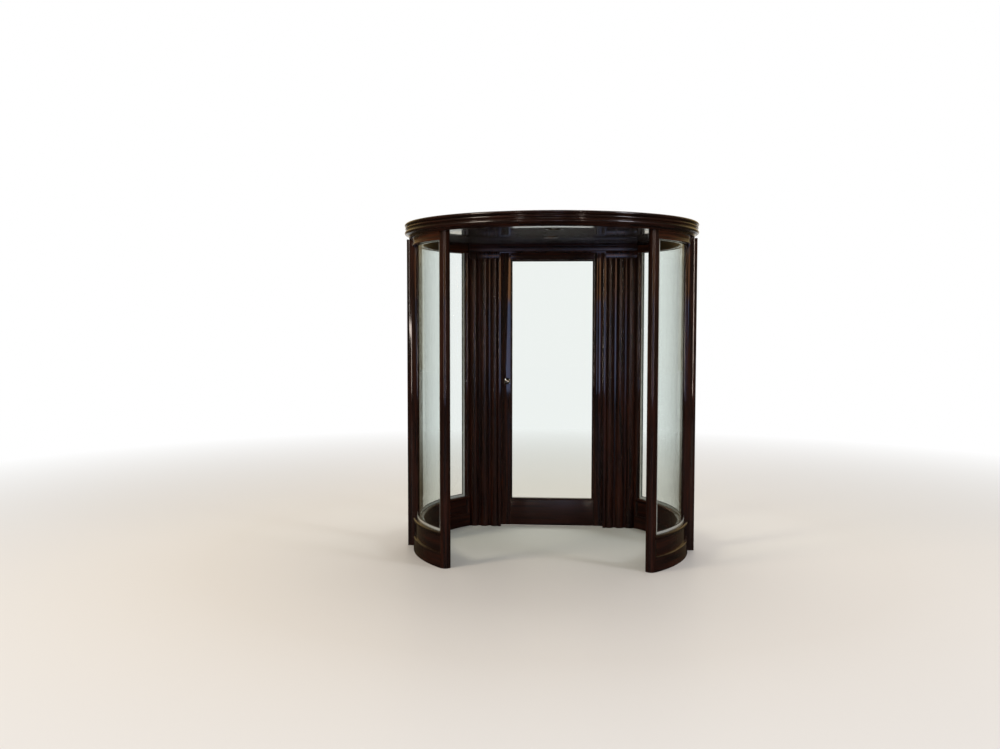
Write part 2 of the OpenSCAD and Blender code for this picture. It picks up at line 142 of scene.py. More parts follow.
@dataclass(frozen=True)
class Mahogany:
    """French-polished mahogany: dark stained timber under a clear gloss varnish, rubbed thin on its edges.

    Attributes:
        name: The material's name.
        grain: Which way the grain runs.
        seed: Shifts the figure, so that neighbouring pieces differ.
        deep: Colour of the darkest figure and of the filled pores.
        body: Colour of most of the timber.
        warm: Colour of the ribbon stripe that the varnish brings up.
        rubbed: Colour where the stain has worn off an edge.
        scuffed: Colour of the marks that mops and shoes leave.
        dusty: Colour of the dust on the canopy.
        polish: Coat roughness, lower on rails that hands and cloths keep bright.
        segment_deg: Length of the segments that a ring is built up from, or 0 where it is one piece.
        figure_mm: Width and length of the broad figure.
        ribbon_mm: Width and length of the ribbon stripe.
        pore_mm: Width and length of a pore. The real ones are 0.3 mm wide, and are drawn coarser to show.
        wave_mm: Width and length of the waves in the varnish.
        cloud_mm: Distance between patches of wear and of dust.
        edge_mm: Radius of the rubbed arrises.
        wall_radius_mm: Radius of the curved walls, on which a ring's grain runs.
        scrub_height_mm: Height that mops and shoes reach.
        dust_height_mm: Heights between which the canopy's dust begins.
        board_shift: How far the figure moves on for each next board of a ring, in metres.
        piece_shift: How far it moves on for each next seed along its three axes, in metres.
    """

    name: str
    grain: Grain
    seed: int = 0
    deep: str = "#0f0605"
    body: str = "#210f0a"
    warm: str = "#3f1b0d"
    rubbed: str = "#55301c"
    scuffed: str = "#4a3a32"
    dusty: str = "#6d6358"
    polish: float = 0.05
    segment_deg: float = 0.0
    figure_mm: tuple[float, float] = (95, 900)
    ribbon_mm: tuple[float, float] = (22, 420)
    pore_mm: tuple[float, float] = (3, 90)
    wave_mm: tuple[float, float] = (120, 700)
    cloud_mm: float = 1000 / 18
    edge_mm: float = 1.6
    wall_radius_mm: float = 962.5
    scrub_height_mm: float = 110
    dust_height_mm: tuple[float, float] = (2338, 2344)
    board_shift: float = 7.3
    piece_shift: tuple[float, float, float] = (1.37, 0.71, 0.43)

    def along_grain(self, tree: bpy.types.NodeTree) -> bpy.types.Node:
        """Give coordinates in metres whose X runs along the grain.

        Args:
            tree: The material's node tree.

        Returns:
            The node that gives them.
        """
        place = add(tree, "TexCoord").outputs["Object"]
        x, y, z = add(tree, "SeparateXYZ", {0: place}).outputs
        if self.grain is Grain.UPRIGHT:
            order = (z, x, y)
        elif self.grain is Grain.ACROSS:
            order = (x, y, z)
        else:
            turn = add(tree, "Math", {0: y, 1: x}, operation="ARCTAN2")
            arc = add(tree, "Math", {0: turn, 1: self.wall_radius_mm * MM}, operation="MULTIPLY")
            if self.segment_deg:
                # Each segment of a ring is cut from another board.
                whole = add(tree, "Math", {0: turn, 1: math.pi}, operation="ADD")
                count = add(tree, "Math", {0: whole, 1: math.radians(self.segment_deg)}, operation="DIVIDE")
                board = add(tree, "Math", {0: count}, operation="FLOOR")
                moved = add(tree, "Math", {0: board, 1: self.board_shift}, operation="MULTIPLY")
                arc = add(tree, "Math", {0: arc, 1: moved}, operation="ADD")
            flat = add(tree, "CombineXYZ", {0: x, 1: y})
            radius = add(tree, "VectorMath", {0: flat}, operation="LENGTH")
            order = (arc, radius, z)
        turned = add(tree, "CombineXYZ", dict(enumerate(order)))
        shift = tuple(self.seed * step for step in self.piece_shift)
        return add(tree, "Mapping", {"Vector": turned, "Location": shift})

    def streaks(self, tree: bpy.types.NodeTree, place: Source, size_mm: tuple[float, float],
                detail: float) -> bpy.types.Node:
        """Draw noise in streaks along the grain.

        Args:
            tree: The material's node tree.
            place: Coordinates along the grain.
            size_mm: Width across and length along the grain of one streak.
            detail: Octaves of finer noise in it.

        Returns:
            The noise, which is about 0.5 on average.
        """
        across, along = (1 / (size * MM) for size in size_mm)
        scaled = add(tree, "Mapping", {"Vector": place, "Scale": (along, across, across)})
        return add(tree, "TexNoise", {"Vector": scaled, "Scale": 1.0, "Detail": detail, "Roughness": 0.55})

    def worn_edges(self, tree: bpy.types.NodeTree, clouds: Source) -> tuple[bpy.types.Node, bpy.types.Node]:
        """Find the arrises, which are eased and rubbed bare here and there.

        Args:
            tree: The material's node tree.
            clouds: Noise that breaks up the wear.

        Returns:
            The eased normal, and how worn the surface is from 0 to 1.
        """
        eased = add(tree, "Bevel", {"Radius": self.edge_mm * MM}, samples=4)
        true = add(tree, "NewGeometry").outputs["Normal"]
        likeness = add(tree, "VectorMath", {0: eased, 1: true}, operation="DOT_PRODUCT")
        edge = add(tree, "MapRange", {0: likeness, 1: 0.995, 2: 0.86})
        patchy = add(tree, "MapRange", {0: clouds, 1: 0.42, 2: 0.62, 3: 0.1, 4: 0.8})
        return eased, add(tree, "Math", {0: edge, 1: patchy}, operation="MULTIPLY")

    def timber(self, tree: bpy.types.NodeTree, figure: Source, ribbon: Source,
               pores: Source) -> bpy.types.Node:
        """Colour the clean timber.

        Args:
            tree: The material's node tree.
            figure: Noise of the broad figure.
            ribbon: Noise of the ribbon stripe.
            pores: How deep in a filled pore the surface is, from 0 to 1.

        Returns:
            The colour's node.
        """
        broad = add(tree, "MapRange", {0: figure, 1: 0.34, 2: 0.66})
        ground = add(tree, "Mix", {0: broad, 6: linear(self.deep), 7: linear(self.body)}, data_type="RGBA")
        stripe = add(tree, "MapRange", {0: ribbon, 1: 0.42, 2: 0.72, 4: 0.6})
        striped = add(tree, "Mix", {0: stripe, 6: ground, 7: linear(self.warm)}, data_type="RGBA")
        filling = add(tree, "MapRange", {0: pores, 4: 0.6})
        return add(tree, "Mix", {0: filling, 6: striped, 7: linear(self.deep)}, data_type="RGBA")

    def dust(self, tree: bpy.types.NodeTree, height: Source, clouds: Source) -> bpy.types.Node:
        """Find the faces that look up on the canopy's top, which nobody wipes.

        Args:
            tree: The material's node tree.
            height: Height above the floor.
            clouds: Noise that breaks up the dust.

        Returns:
            How dusty the surface is from 0 to 1.
        """
        normal = add(tree, "NewGeometry").outputs["Normal"]
        upwards = add(tree, "SeparateXYZ", {0: normal}).outputs["Z"]
        low, high = self.dust_height_mm
        on_top = add(tree, "MapRange", {0: height, 1: low * MM, 2: high * MM})
        level = add(tree, "MapRange", {0: upwards, 1: 0.6, 2: 0.95})
        there = add(tree, "Math", {0: on_top, 1: level}, operation="MULTIPLY")
        patchy = add(tree, "MapRange", {0: clouds, 1: 0.3, 2: 0.65, 3: 0.55})
        return add(tree, "Math", {0: there, 1: patchy}, operation="MULTIPLY")

    def build(self) -> bpy.types.Material:
        """Build the material.

        Returns:
            The material.
        """
        material, tree, output = blank(self.name)
        place = self.along_grain(tree)
        figure = self.streaks(tree, place, self.figure_mm, 4)
        ribbon = self.streaks(tree, place, self.ribbon_mm, 2)
        pores = add(tree, "MapRange", {0: self.streaks(tree, place, self.pore_mm, 1), 1: 0.56, 2: 0.7})
        clean = self.timber(tree, figure, ribbon, pores)

        # Mop and shoe marks dull the varnish low down.
        real = add(tree, "TexCoord").outputs["Object"]
        height = add(tree, "SeparateXYZ", {0: real}).outputs["Z"]
        low_down = add(tree, "MapRange", {0: height, 2: self.scrub_height_mm * MM, 3: 1.0, 4: 0.0})
        cloudy = add(tree, "TexNoise", {"Vector": real, "Scale": 1 / (self.cloud_mm * MM), "Detail": 5.0})
        smeared = add(tree, "MapRange", {0: cloudy, 1: 0.4, 2: 0.7})
        scrubbed = add(tree, "Math", {0: low_down, 1: smeared}, operation="MULTIPLY")
        eased, worn = self.worn_edges(tree, cloudy)
        marks = add(tree, "MapRange", {0: scrubbed, 4: 0.07})
        mopped = add(tree, "Mix", {0: marks, 6: clean, 7: linear(self.scuffed)}, data_type="RGBA")
        bare = add(tree, "Mix", {0: worn, 6: mopped, 7: linear(self.rubbed)}, data_type="RGBA")
        dust = self.dust(tree, height, cloudy)
        film = add(tree, "MapRange", {0: dust, 4: 0.35})
        colour = add(tree, "Mix", {0: film, 6: bare, 7: linear(self.dusty)}, data_type="RGBA")

        dulled = add(tree, "Math", {0: scrubbed, 1: dust}, operation="MAXIMUM")
        sawn = add(tree, "MapRange", {0: ribbon, 1: 0.3, 2: 0.7, 3: 0.4, 4: 0.5})
        rougher = add(tree, "MapRange", {0: dulled, 4: 0.25})
        rough = add(tree, "Math", {0: sawn, 1: rougher}, operation="ADD")
        wave = self.streaks(tree, place, self.wave_mm, 1)
        surface = add(tree, "Bump", {"Height": pores, "Strength": 0.12, "Distance": 0.3 * MM,
                                     "Normal": eased}, invert=True)
        varnish = add(tree, "Bump", {"Height": wave, "Strength": 0.2, "Distance": 0.8 * MM, "Normal": eased})
        rubbed_thin = add(tree, "Math", {0: worn, 1: scrubbed}, operation="MAXIMUM")
        thinned = add(tree, "MapRange", {0: rubbed_thin, 3: 0.9, 4: 0.5})
        under_dust = add(tree, "MapRange", {0: dust, 2: 0.8, 3: 1.0, 4: 0.05})
        coat = add(tree, "Math", {0: thinned, 1: under_dust}, operation="MULTIPLY")
        shader = add(tree, "BsdfPrincipled", {
            "Base Color": colour, "Roughness": rough, "Normal": surface, "Specular IOR Level": 0.08,
            "Coat Weight": coat, "Coat Roughness": self.polish, "Coat IOR": 1.48, "Coat Normal": varnish})
        tree.links.new(shader.outputs[0], output.inputs["Surface"])
        return material


@dataclass(frozen=True)
class DeckBoards:
    """Oiled softwood boards of the roof, laid side by side and grey with dust.

    Attributes:
        name: The material's name.
        board_mm: Width of a board.
        joint_mm: Width of the joint between two boards.
        log_mm: Length of the log that the boards were cut from, each at another place.
        grain_mm: Length and width of a streak of grain.
        cloud_mm: Distance between drifts of dust.
        oiled: Colour of the oiled wood.
        dark: Colour of its late wood.
        pale: Colour towards which the boards vary.
        dusty: Colour of the dust.
        shaded: Colour down in a joint.
    """

    name: str
    board_mm: float = 140.0
    joint_mm: float = 4.0
    log_mm: float = 5000.0
    grain_mm: tuple[float, float] = (1000 / 3, 1000 / 60)
    cloud_mm: float = 200.0
    oiled: str = "#3a2519"
    dark: str = "#24160f"
    pale: str = "#553a28"
    dusty: str = "#6d6358"
    shaded: str = "#150d09"

    def build(self) -> bpy.types.Material:
        """Build the material.

        Returns:
            The material.
        """
        material, tree, output = blank(self.name)
        place = add(tree, "TexCoord").outputs["Object"]
        x, y, _ = add(tree, "SeparateXYZ", {0: place}).outputs
        rows = add(tree, "Math", {0: y, 1: self.board_mm * MM}, operation="DIVIDE")
        board = add(tree, "Math", {0: rows}, operation="FLOOR")
        tone = add(tree, "TexWhiteNoise", {"W": board}, noise_dimensions="1D")
        within = add(tree, "Math", {0: rows}, operation="FRACT")
        off_middle = add(tree, "Math", {0: within, 1: 0.5}, operation="SUBTRACT")
        across = add(tree, "Math", {0: off_middle}, operation="ABSOLUTE")
        joint = add(tree, "MapRange", {0: across, 1: 0.5 - self.joint_mm / self.board_mm, 2: 0.5})
        offset = add(tree, "Math", {0: tone, 1: self.log_mm * MM}, operation="MULTIPLY")
        shifted_x = add(tree, "Math", {0: x, 1: offset}, operation="ADD")
        shifted = add(tree, "CombineXYZ", {0: shifted_x, 1: y})
        along, across_grain = (1 / (size * MM) for size in self.grain_mm)
        drawn_out = add(tree, "Mapping", {"Vector": shifted, "Scale": (along, across_grain, 1)})
        grain = add(tree, "TexNoise", {"Vector": drawn_out, "Scale": 1.0, "Detail": 4.0})
        clouds = add(tree, "TexNoise", {"Vector": place, "Scale": 1 / (self.cloud_mm * MM), "Detail": 6.0})
        late = add(tree, "MapRange", {0: grain, 1: 0.35, 2: 0.65, 4: 0.5})
        grained = add(tree, "Mix", {0: late, 6: linear(self.oiled), 7: linear(self.dark)}, data_type="RGBA")
        varied = add(tree, "MapRange", {0: tone, 4: 0.3})
        toned = add(tree, "Mix", {0: varied, 6: grained, 7: linear(self.pale)}, data_type="RGBA")
        dust = add(tree, "MapRange", {0: clouds, 1: 0.35, 2: 0.7, 3: 0.12, 4: 0.5})
        dusted = add(tree, "Mix", {0: dust, 6: toned, 7: linear(self.dusty)}, data_type="RGBA")
        colour = add(tree, "Mix", {0: joint, 6: dusted, 7: linear(self.shaded)}, data_type="RGBA")
        gap = add(tree, "Bump", {"Height": joint, "Strength": 0.6, "Distance": 2 * MM}, invert=True)
        rough = add(tree, "MapRange", {0: clouds, 1: 0.3, 2: 0.7, 3: 0.55, 4: 0.85})
        shader = add(tree, "BsdfPrincipled", {
            "Base Color": colour, "Roughness": rough, "Normal": gap})
        tree.links.new(shader.outputs[0], output.inputs["Surface"])
        return material


@dataclass(frozen=True)
class FloatGlass:
    """Float glass, bent or flat: clear to look through, with the green of its iron along the edges.

    Attributes:
        name: The material's name.
        tint: Colour that its faces let through.
        body: Colour that its depth lets through.
        absorption: How strongly its depth takes up light.
        wave_mm: Distance between its waves.
    """

    name: str
    tint: str = "#f8fcfa"
    body: str = "#8fc9ae"
    absorption: float = 3.2
    wave_mm: float = 90.0

    def build(self) -> bpy.types.Material:
        """Build the material. Light from the lamps passes straight through.

        Returns:
            The material.
        """
        material, tree, output = blank(self.name)
        # Old bent glass is a little wavy from side to side, which draws reflections out upwards.
        place = add(tree, "TexCoord").outputs["Object"]
        upright = add(tree, "Mapping", {"Vector": place, "Scale": (1, 1, 0.15)})
        wave = add(tree, "TexNoise", {"Vector": upright, "Scale": 1 / (self.wave_mm * MM), "Detail": 1.0})
        wavy = add(tree, "Bump", {"Height": wave, "Strength": 0.15, "Distance": MM})
        glass = add(tree, "BsdfPrincipled", {
            "Base Color": linear(self.tint), "Roughness": 0.0, "IOR": 1.5, "Transmission Weight": 1.0,
            "Normal": wavy})
        clear = add(tree, "BsdfTransparent", {"Color": linear(self.tint)})
        path = add(tree, "LightPath").outputs
        through = add(tree, "Math", {0: path["Is Shadow Ray"], 1: path["Is Diffuse Ray"]}, operation="MAXIMUM")
        mixed = add(tree, "MixShader", {0: through, 1: glass, 2: clear})
        iron = add(tree, "VolumeAbsorption", {"Color": linear(self.body), "Density": self.absorption})
        tree.links.new(mixed.outputs[0], output.inputs["Surface"])
        tree.links.new(iron.outputs[0], output.inputs["Volume"])
        return material


@dataclass(frozen=True)
class PolishedMetal:
    """Polished nickel silver or steel: bright, with fine draw lines and a few finger marks that blur it.

    Attributes:
        name: The material's name.
        colour: Colour of the clean metal.
        worn: Colour under finger marks.
        rough: Roughness of the clean metal and under finger marks.
        metallic: How metallic it is, less on lacquered metal.
        line_mm: Distance between draw lines.
        smudge_mm: Distance between finger marks.
    """

    name: str
    colour: str = "#d6d3cc"
    worn: str = "#b9b4aa"
    rough: tuple[float, float] = (0.14, 0.26)
    metallic: float = 1.0
    line_mm: float = 1.6
    smudge_mm: float = 45.0

    def build(self) -> bpy.types.Material:
        """Build the material.

        Returns:
            The material.
        """
        material, tree, output = blank(self.name)
        place = add(tree, "TexCoord").outputs["Object"]
        lines = add(tree, "TexNoise", {"Vector": place, "Scale": 1 / (self.line_mm * MM), "Detail": 2.0})
        smudges = add(tree, "TexNoise", {"Vector": place, "Scale": 1 / (self.smudge_mm * MM), "Detail": 4.0})
        touched = add(tree, "MapRange", {0: smudges, 1: 0.45, 2: 0.75, 4: 0.7})
        colour = add(tree, "Mix", {0: touched, 6: linear(self.colour), 7: linear(self.worn)}, data_type="RGBA")
        rough = add(tree, "MapRange", {0: smudges, 1: 0.35, 2: 0.7, 3: self.rough[0], 4: self.rough[1]})
        drawn = add(tree, "Bump", {"Height": lines, "Strength": 0.05, "Distance": 0.1 * MM})
        shader = add(tree, "BsdfPrincipled", {
            "Base Color": colour, "Metallic": self.metallic, "Roughness": rough, "Normal": drawn})
        tree.links.new(shader.outputs[0], output.inputs["Surface"])
        return material


@dataclass(frozen=True)
class PatinatedBronze:
    """Cast bronze, browned by age and rubbed back to its metal where it is touched.

    Attributes:
        name: The material's name.
        brown: Colour of the patina.
        rubbed: Colour of the rubbed metal.
        cloud_mm: Distance between rubbed patches.
        sand_mm: Distance between the marks of the casting sand.
    """

    name: str
    brown: str = "#3a2a1d"
    rubbed: str = "#7d5f3c"
    cloud_mm: float = 1000 / 60
    sand_mm: float = 1000 / 900

    def build(self) -> bpy.types.Material:
        """Build the material.

        Returns:
            The material.
        """
        material, tree, output = blank(self.name)
        place = add(tree, "TexCoord").outputs["Object"]
        clouds = add(tree, "TexNoise", {"Vector": place, "Scale": 1 / (self.cloud_mm * MM), "Detail": 6.0})
        sand = add(tree, "TexNoise", {"Vector": place, "Scale": 1 / (self.sand_mm * MM), "Detail": 2.0})
        touched = add(tree, "MapRange", {0: clouds, 1: 0.5, 2: 0.72, 4: 0.8})
        colour = add(tree, "Mix", {0: touched, 6: linear(self.brown), 7: linear(self.rubbed)}, data_type="RGBA")
        rough = add(tree, "MapRange", {0: clouds, 1: 0.4, 2: 0.7, 3: 0.52, 4: 0.34})
        cast = add(tree, "Bump", {"Height": sand, "Strength": 0.1, "Distance": 0.2 * MM})
        shader = add(tree, "BsdfPrincipled", {
            "Base Color": colour, "Metallic": 0.9, "Roughness": rough, "Normal": cast})
        tree.links.new(shader.outputs[0], output.inputs["Surface"])
        return material


@dataclass(frozen=True)
class StainedPutty:
    """Linseed putty, stained to the timber: matt, a little uneven from the knife.

    Attributes:
        name: The material's name.
        colour: Colour of the stained putty.
        paler: Colour where the stain took less.
        knife_mm: Distance between the knife's marks.
    """

    name: str
    colour: str = "#1d110d"
    paler: str = "#35231b"
    knife_mm: float = 6.0

    def build(self) -> bpy.types.Material:
        """Build the material.

        Returns:
            The material.
        """
        material, tree, output = blank(self.name)
        place = add(tree, "TexCoord").outputs["Object"]
        marks = add(tree, "TexNoise", {"Vector": place, "Scale": 1 / (self.knife_mm * MM), "Detail": 3.0})
        share = add(tree, "MapRange", {0: marks, 1: 0.4, 2: 0.7, 4: 0.5})
        colour = add(tree, "Mix", {0: share, 6: linear(self.colour), 7: linear(self.paler)}, data_type="RGBA")
        uneven = add(tree, "Bump", {"Height": marks, "Strength": 0.3, "Distance": 0.3 * MM})
        rough = add(tree, "MapRange", {0: marks, 1: 0.3, 2: 0.7, 3: 0.45, 4: 0.65})
        shader = add(tree, "BsdfPrincipled", {
            "Base Color": colour, "Roughness": rough, "Normal": uneven})
        tree.links.new(shader.outputs[0], output.inputs["Surface"])
        return material


@dataclass(frozen=True)
class MohairPile:
    """Brown mohair pile, cut short: soft, with a pale bloom where it is seen aslant.

    Attributes:
        name: The material's name.
        root: Colour down between the tufts.
        tip: Colour of their tips.
        tuft_mm: Distance between tufts.
    """

    name: str
    root: str = "#140d0a"
    tip: str = "#3a2a22"
    tuft_mm: float = 1.4

    def build(self) -> bpy.types.Material:
        """Build the material.

        Returns:
            The material.
        """
        material, tree, output = blank(self.name)
        place = add(tree, "TexCoord").outputs["Object"]
        tufts = add(tree, "TexNoise", {"Vector": place, "Scale": 1 / (self.tuft_mm * MM), "Detail": 3.0})
        share = add(tree, "MapRange", {0: tufts, 1: 0.4, 2: 0.65})
        colour = add(tree, "Mix", {0: share, 6: linear(self.root), 7: linear(self.tip)}, data_type="RGBA")
        fuzz = add(tree, "Bump", {"Height": tufts, "Strength": 0.6, "Distance": 0.8 * MM})
        rough = add(tree, "MapRange", {0: tufts, 1: 0.3, 2: 0.7, 3: 0.8, 4: 0.95})
        shader = add(tree, "BsdfPrincipled", {
            "Base Color": colour, "Roughness": rough, "Normal": fuzz, "Sheen Weight": 0.4,
            "Sheen Roughness": 0.5})
        tree.links.new(shader.outputs[0], output.inputs["Surface"])
        return material


@dataclass(frozen=True)
class EtchedLens:
    """Acid-etched lamp glass: cloudy, so that the can behind it is only guessed at.

    Attributes:
        name: The material's name.
        etched: Colour where the acid bit deepest.
        bright: Colour where it bit least.
        etch_mm: Distance between its flecks.
    """

    name: str
    etched: str = "#8f8d86"
    bright: str = "#a9a79f"
    etch_mm: float = 2.0

    def build(self) -> bpy.types.Material:
        """Build the material.

        Returns:
            The material.
        """
        material, tree, output = blank(self.name)
        place = add(tree, "TexCoord").outputs["Object"]
        flecks = add(tree, "TexNoise", {"Vector": place, "Scale": 1 / (self.etch_mm * MM), "Detail": 2.0})
        share = add(tree, "MapRange", {0: flecks, 1: 0.35, 2: 0.7})
        colour = add(tree, "Mix", {0: share, 6: linear(self.etched), 7: linear(self.bright)}, data_type="RGBA")
        rough = add(tree, "MapRange", {0: flecks, 1: 0.3, 2: 0.7, 3: 0.4, 4: 0.55})
        shader = add(tree, "BsdfPrincipled", {
            "Base Color": colour, "Roughness": rough, "IOR": 1.5, "Transmission Weight": 0.5})
        tree.links.new(shader.outputs[0], output.inputs["Surface"])
        return material


Finish = Union[Mahogany, DeckBoards, FloatGlass, PolishedMetal, PatinatedBronze, StainedPutty, MohairPile, EtchedLens]
PATINATED_BRONZE = PatinatedBronze("patinated_bronze")
RUBBED_BRONZE = PatinatedBronze("rubbed_bronze", brown="#5c452e")
POLISHED_LOCK = PolishedMetal("polished_lock", rough=(0.05, 0.13))


@dataclass
class Finishes:
    """All finishes, each built once and kept by its name.

    Attributes:
        made: The materials built so far.
    """

    made: dict[str, bpy.types.Material] = field(default_factory=dict)

    def get(self, finish: Finish) -> bpy.types.Material:
        """Give a finish's material, and build it the first time.

        Args:
            finish: The finish.

        Returns:
            Its material.
        """
        if finish.name not in self.made:
            self.made[finish.name] = finish.build()
        return self.made[finish.name]


def dress(finishes: Finishes, node: str, finish: Finish) -> None:
    """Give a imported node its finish.

    Args:
        finishes: The shared finishes.
        node: The node's name.
        finish: What it is made of.
    """
    piece = frame["nodes"][node]
    material = finishes.get(finish)
    for slot in piece.material_slots:
        slot.material = material
    if not piece.material_slots:
        piece.data.materials.append(material)
    log.info("dressed %s in %s", node, material.name)


def start(name: str, primitive: Callable[..., set], **place: object) -> bpy.types.Object:
    """Add a primitive by itself, selected all over, and go into edit mode on it.

    Args:
        name: The new piece's name.
        primitive: The operator that adds it.
        **place: The operator's own settings.

    Returns:
        The new object.
    """
    bpy.ops.object.select_all(action="DESELECT")
    primitive(**place)
    piece = bpy.context.object
    piece.name = name
    piece.data.name = name
    bpy.ops.object.transform_apply(location=True, rotation=True, scale=True)
    bpy.ops.object.mode_set(mode="EDIT")
    bpy.ops.mesh.select_mode(type="FACE")
    bpy.ops.mesh.select_all(action="SELECT")
    return piece


def pick_faces(test: Callable[[Vector, Vector], bool]) -> None:
    """Select faces of the piece in edit mode.

    Args:
        test: Tells by a face's centre and normal whether to select it.
    """
    mesh = bmesh.from_edit_mesh(bpy.context.object.data)
    bpy.ops.mesh.select_mode(type="FACE")
    bpy.ops.mesh.select_all(action="DESELECT")
    for face in mesh.faces:
        face.select = test(face.calc_center_median(), face.normal)
    bmesh.update_edit_mesh(bpy.context.object.data)


def pick_points(test: Callable[[Vector], bool]) -> None:
    """Select points of the piece in edit mode.

    Args:
        test: Tells by a point's place whether to select it.
    """
    mesh = bmesh.from_edit_mesh(bpy.context.object.data)
    bpy.ops.mesh.select_mode(type="VERT")
    bpy.ops.mesh.select_all(action="DESELECT")
    for point in mesh.verts:
        point.select = test(point.co)
    bmesh.update_edit_mesh(bpy.context.object.data)


def pick_arrises(least_angle: float, least_length: float) -> None:
    """Select the outward edges of the piece in edit mode that are sharp and long enough to be eased.

    Args:
        least_angle: The least angle between an edge's two faces, in radians.
        least_length: The least length, in metres.
    """
    mesh = bmesh.from_edit_mesh(bpy.context.object.data)
    bpy.ops.mesh.select_mode(type="EDGE")
    bpy.ops.mesh.select_all(action="DESELECT")
    for edge in mesh.edges:
        sharp = len(edge.link_faces) == 2 and edge.is_convex and edge.calc_face_angle() > least_angle
        edge.select = sharp and edge.calc_length() > least_length
    bmesh.update_edit_mesh(bpy.context.object.data)


def close_up() -> None:
    """Leave edit mode with doubles merged and every face pointing outwards."""
    bpy.ops.mesh.select_all(action="SELECT")
    bpy.ops.mesh.remove_doubles(threshold=DOUBLES_WITHIN)
    bpy.ops.mesh.normals_make_consistent(inside=False)
    bpy.ops.object.mode_set(mode="OBJECT")
    bpy.ops.object.shade_smooth_by_angle(angle=SMOOTH_UNDER)


def turn_profile(steps: Iterable[tuple[float, float]], start_radius: float) -> None:
    """Draw a disc in edit mode out into a turned shape, ring by ring.

    Args:
        steps: The radius and height of each ring after the first, in metres.
        start_radius: The disc's own radius.
    """
    radius, height = start_radius, 0.0
    for next_radius, next_height in steps:
        bpy.ops.mesh.extrude_region_move(TRANSFORM_OT_translate={"value": (0, 0, next_height - height)})
        share = next_radius / radius
        bpy.ops.transform.resize(value=(share, share, 1), center_override=(0, 0, next_height))
        radius, height = next_radius, next_height


def keep(piece: bpy.types.Object, body: Body, material: bpy.types.Material) -> None:
    """Dress a finished piece and make it ride on its body.

    Args:
        piece: The piece, in object mode.
        body: The body that carries it.
        material: Its finish.
    """
    piece.data.materials.clear()
    piece.data.materials.append(material)
    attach(piece, body.value)
    log.info("made %s, %d faces", piece.name, len(piece.data.polygons))


def copy_to(model: bpy.types.Object, name: str, place: Matrix) -> bpy.types.Object:
    """Copy a modelled piece with its own mesh to another place.

    Args:
        model: The piece to copy.
        name: The copy's name.
        place: Where the model's origin and axes go.

    Returns:
        The copy, whose object sits at the origin.
    """
    mesh = model.data.copy()
    mesh.name = name
    mesh.transform(place)
    if place.is_negative:
        mesh.flip_normals()
    piece = bpy.data.objects.new(name, mesh)
    bpy.context.scene.collection.objects.link(piece)
    return piece


def discard(model: bpy.types.Object) -> None:
    """Remove a model once its copies are made."""
    bpy.data.meshes.remove(model.data)


def facing(direction: Vector, place: Vector, twist: float = 0.0) -> Matrix:
    """Give the place of a piece whose +Z is to face a direction, twisted about it by an angle in radians."""
    turned = direction.to_track_quat("Z", "Y").to_matrix().to_4x4()
    return Matrix.Translation(place) @ turned @ Matrix.Rotation(twist, 4, "Z")


@dataclass
class Screw:
    """A countersunk slotted screw of which only the head shows.

    Attributes:
        radius: The head's radius.
        proud: How far the slightly domed head stands out.
        slot: The slot's width.
        depth: The slot's depth.
        sunk: How far the head reaches into the plate.
        dome: For each ring of the dome, its width as a share of the radius and its rise as a share of the whole.
    """

    radius: float = 4.0 * MM
    proud: float = 0.35 * MM
    slot: float = 0.9 * MM
    depth: float = 0.7 * MM
    sunk: float = 2 * MM
    dome: tuple[tuple[float, float], ...] = ((0.25, 0.7), (0.3, 0.3))

    def model(self) -> bpy.types.Object:
        """Model the head at the origin, facing +Z.

        Returns:
            The model, in object mode.
        """
        piece = start("screw", bpy.ops.mesh.primitive_cylinder_add, vertices=24, radius=self.radius,
                      depth=self.sunk, location=(0, 0, -self.sunk / 2))
        pick_faces(lambda centre, normal: normal.z > 0.9)
        for width, rise in self.dome:
            bpy.ops.mesh.inset(thickness=width * self.radius)
            bpy.ops.transform.translate(value=(0, 0, rise * self.proud))
        for side in (-1, 1):
            pick_faces(lambda centre, normal: normal.z > 0.5)
            bpy.ops.mesh.bisect(plane_co=(side * self.slot / 2, 0, 0), plane_no=(1, 0, 0))
        pick_faces(lambda centre, normal: normal.z > 0.5 and abs(centre.x) < self.slot / 2)
        bpy.ops.mesh.extrude_region_move(TRANSFORM_OT_translate={"value": (0, 0, -self.depth)})
        close_up()
        return piece

    def drive(self, places: Iterable[tuple[str, Matrix]], body: Body,
              material: bpy.types.Material) -> None:
        """Put a screw at each place.

        Args:
            places: The name and place of each screw.
            body: The body that carries them.
            material: Their finish.
        """
        model = self.model()
        for name, place in places:
            keep(copy_to(model, name, place), body, material)
        discard(model)


@dataclass
class LockPlate:
    """The two screws that hold a plate of the lock, above and below its middle.

    Attributes:
        name: What the screws are named for.
        body: The body that carries the plate.
        outwards: 1 where the plate faces +X, -1 where it faces -X.
        reach: Distance of the screws from the plate's middle.
        twist: Turn of the lower screw's slot, in radians.
        radius: Radius of the screws' heads.
    """

    name: str
    body: Body
    outwards: int
    reach: float
    twist: float
    radius: float = 3.4 * MM

    def screw_on(self, plane: float, finishes: Finishes) -> None:
        """Screw the plate on, level with the strike.

        Args:
            plane: Where its face lies along X.
            finishes: The shared finishes.
        """
        low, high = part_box("strike_plate")
        middle = (low + high) / 2
        way = Vector((self.outwards, 0, 0))
        places = [(f"{self.name}_screw_{i}", facing(way, Vector((plane, middle.y, middle.z + rise)), self.twist + i))
                  for i, rise in enumerate((-self.reach, self.reach))]
        Screw(radius=self.radius).drive(places, self.body, finishes.get(POLISHED_LOCK))


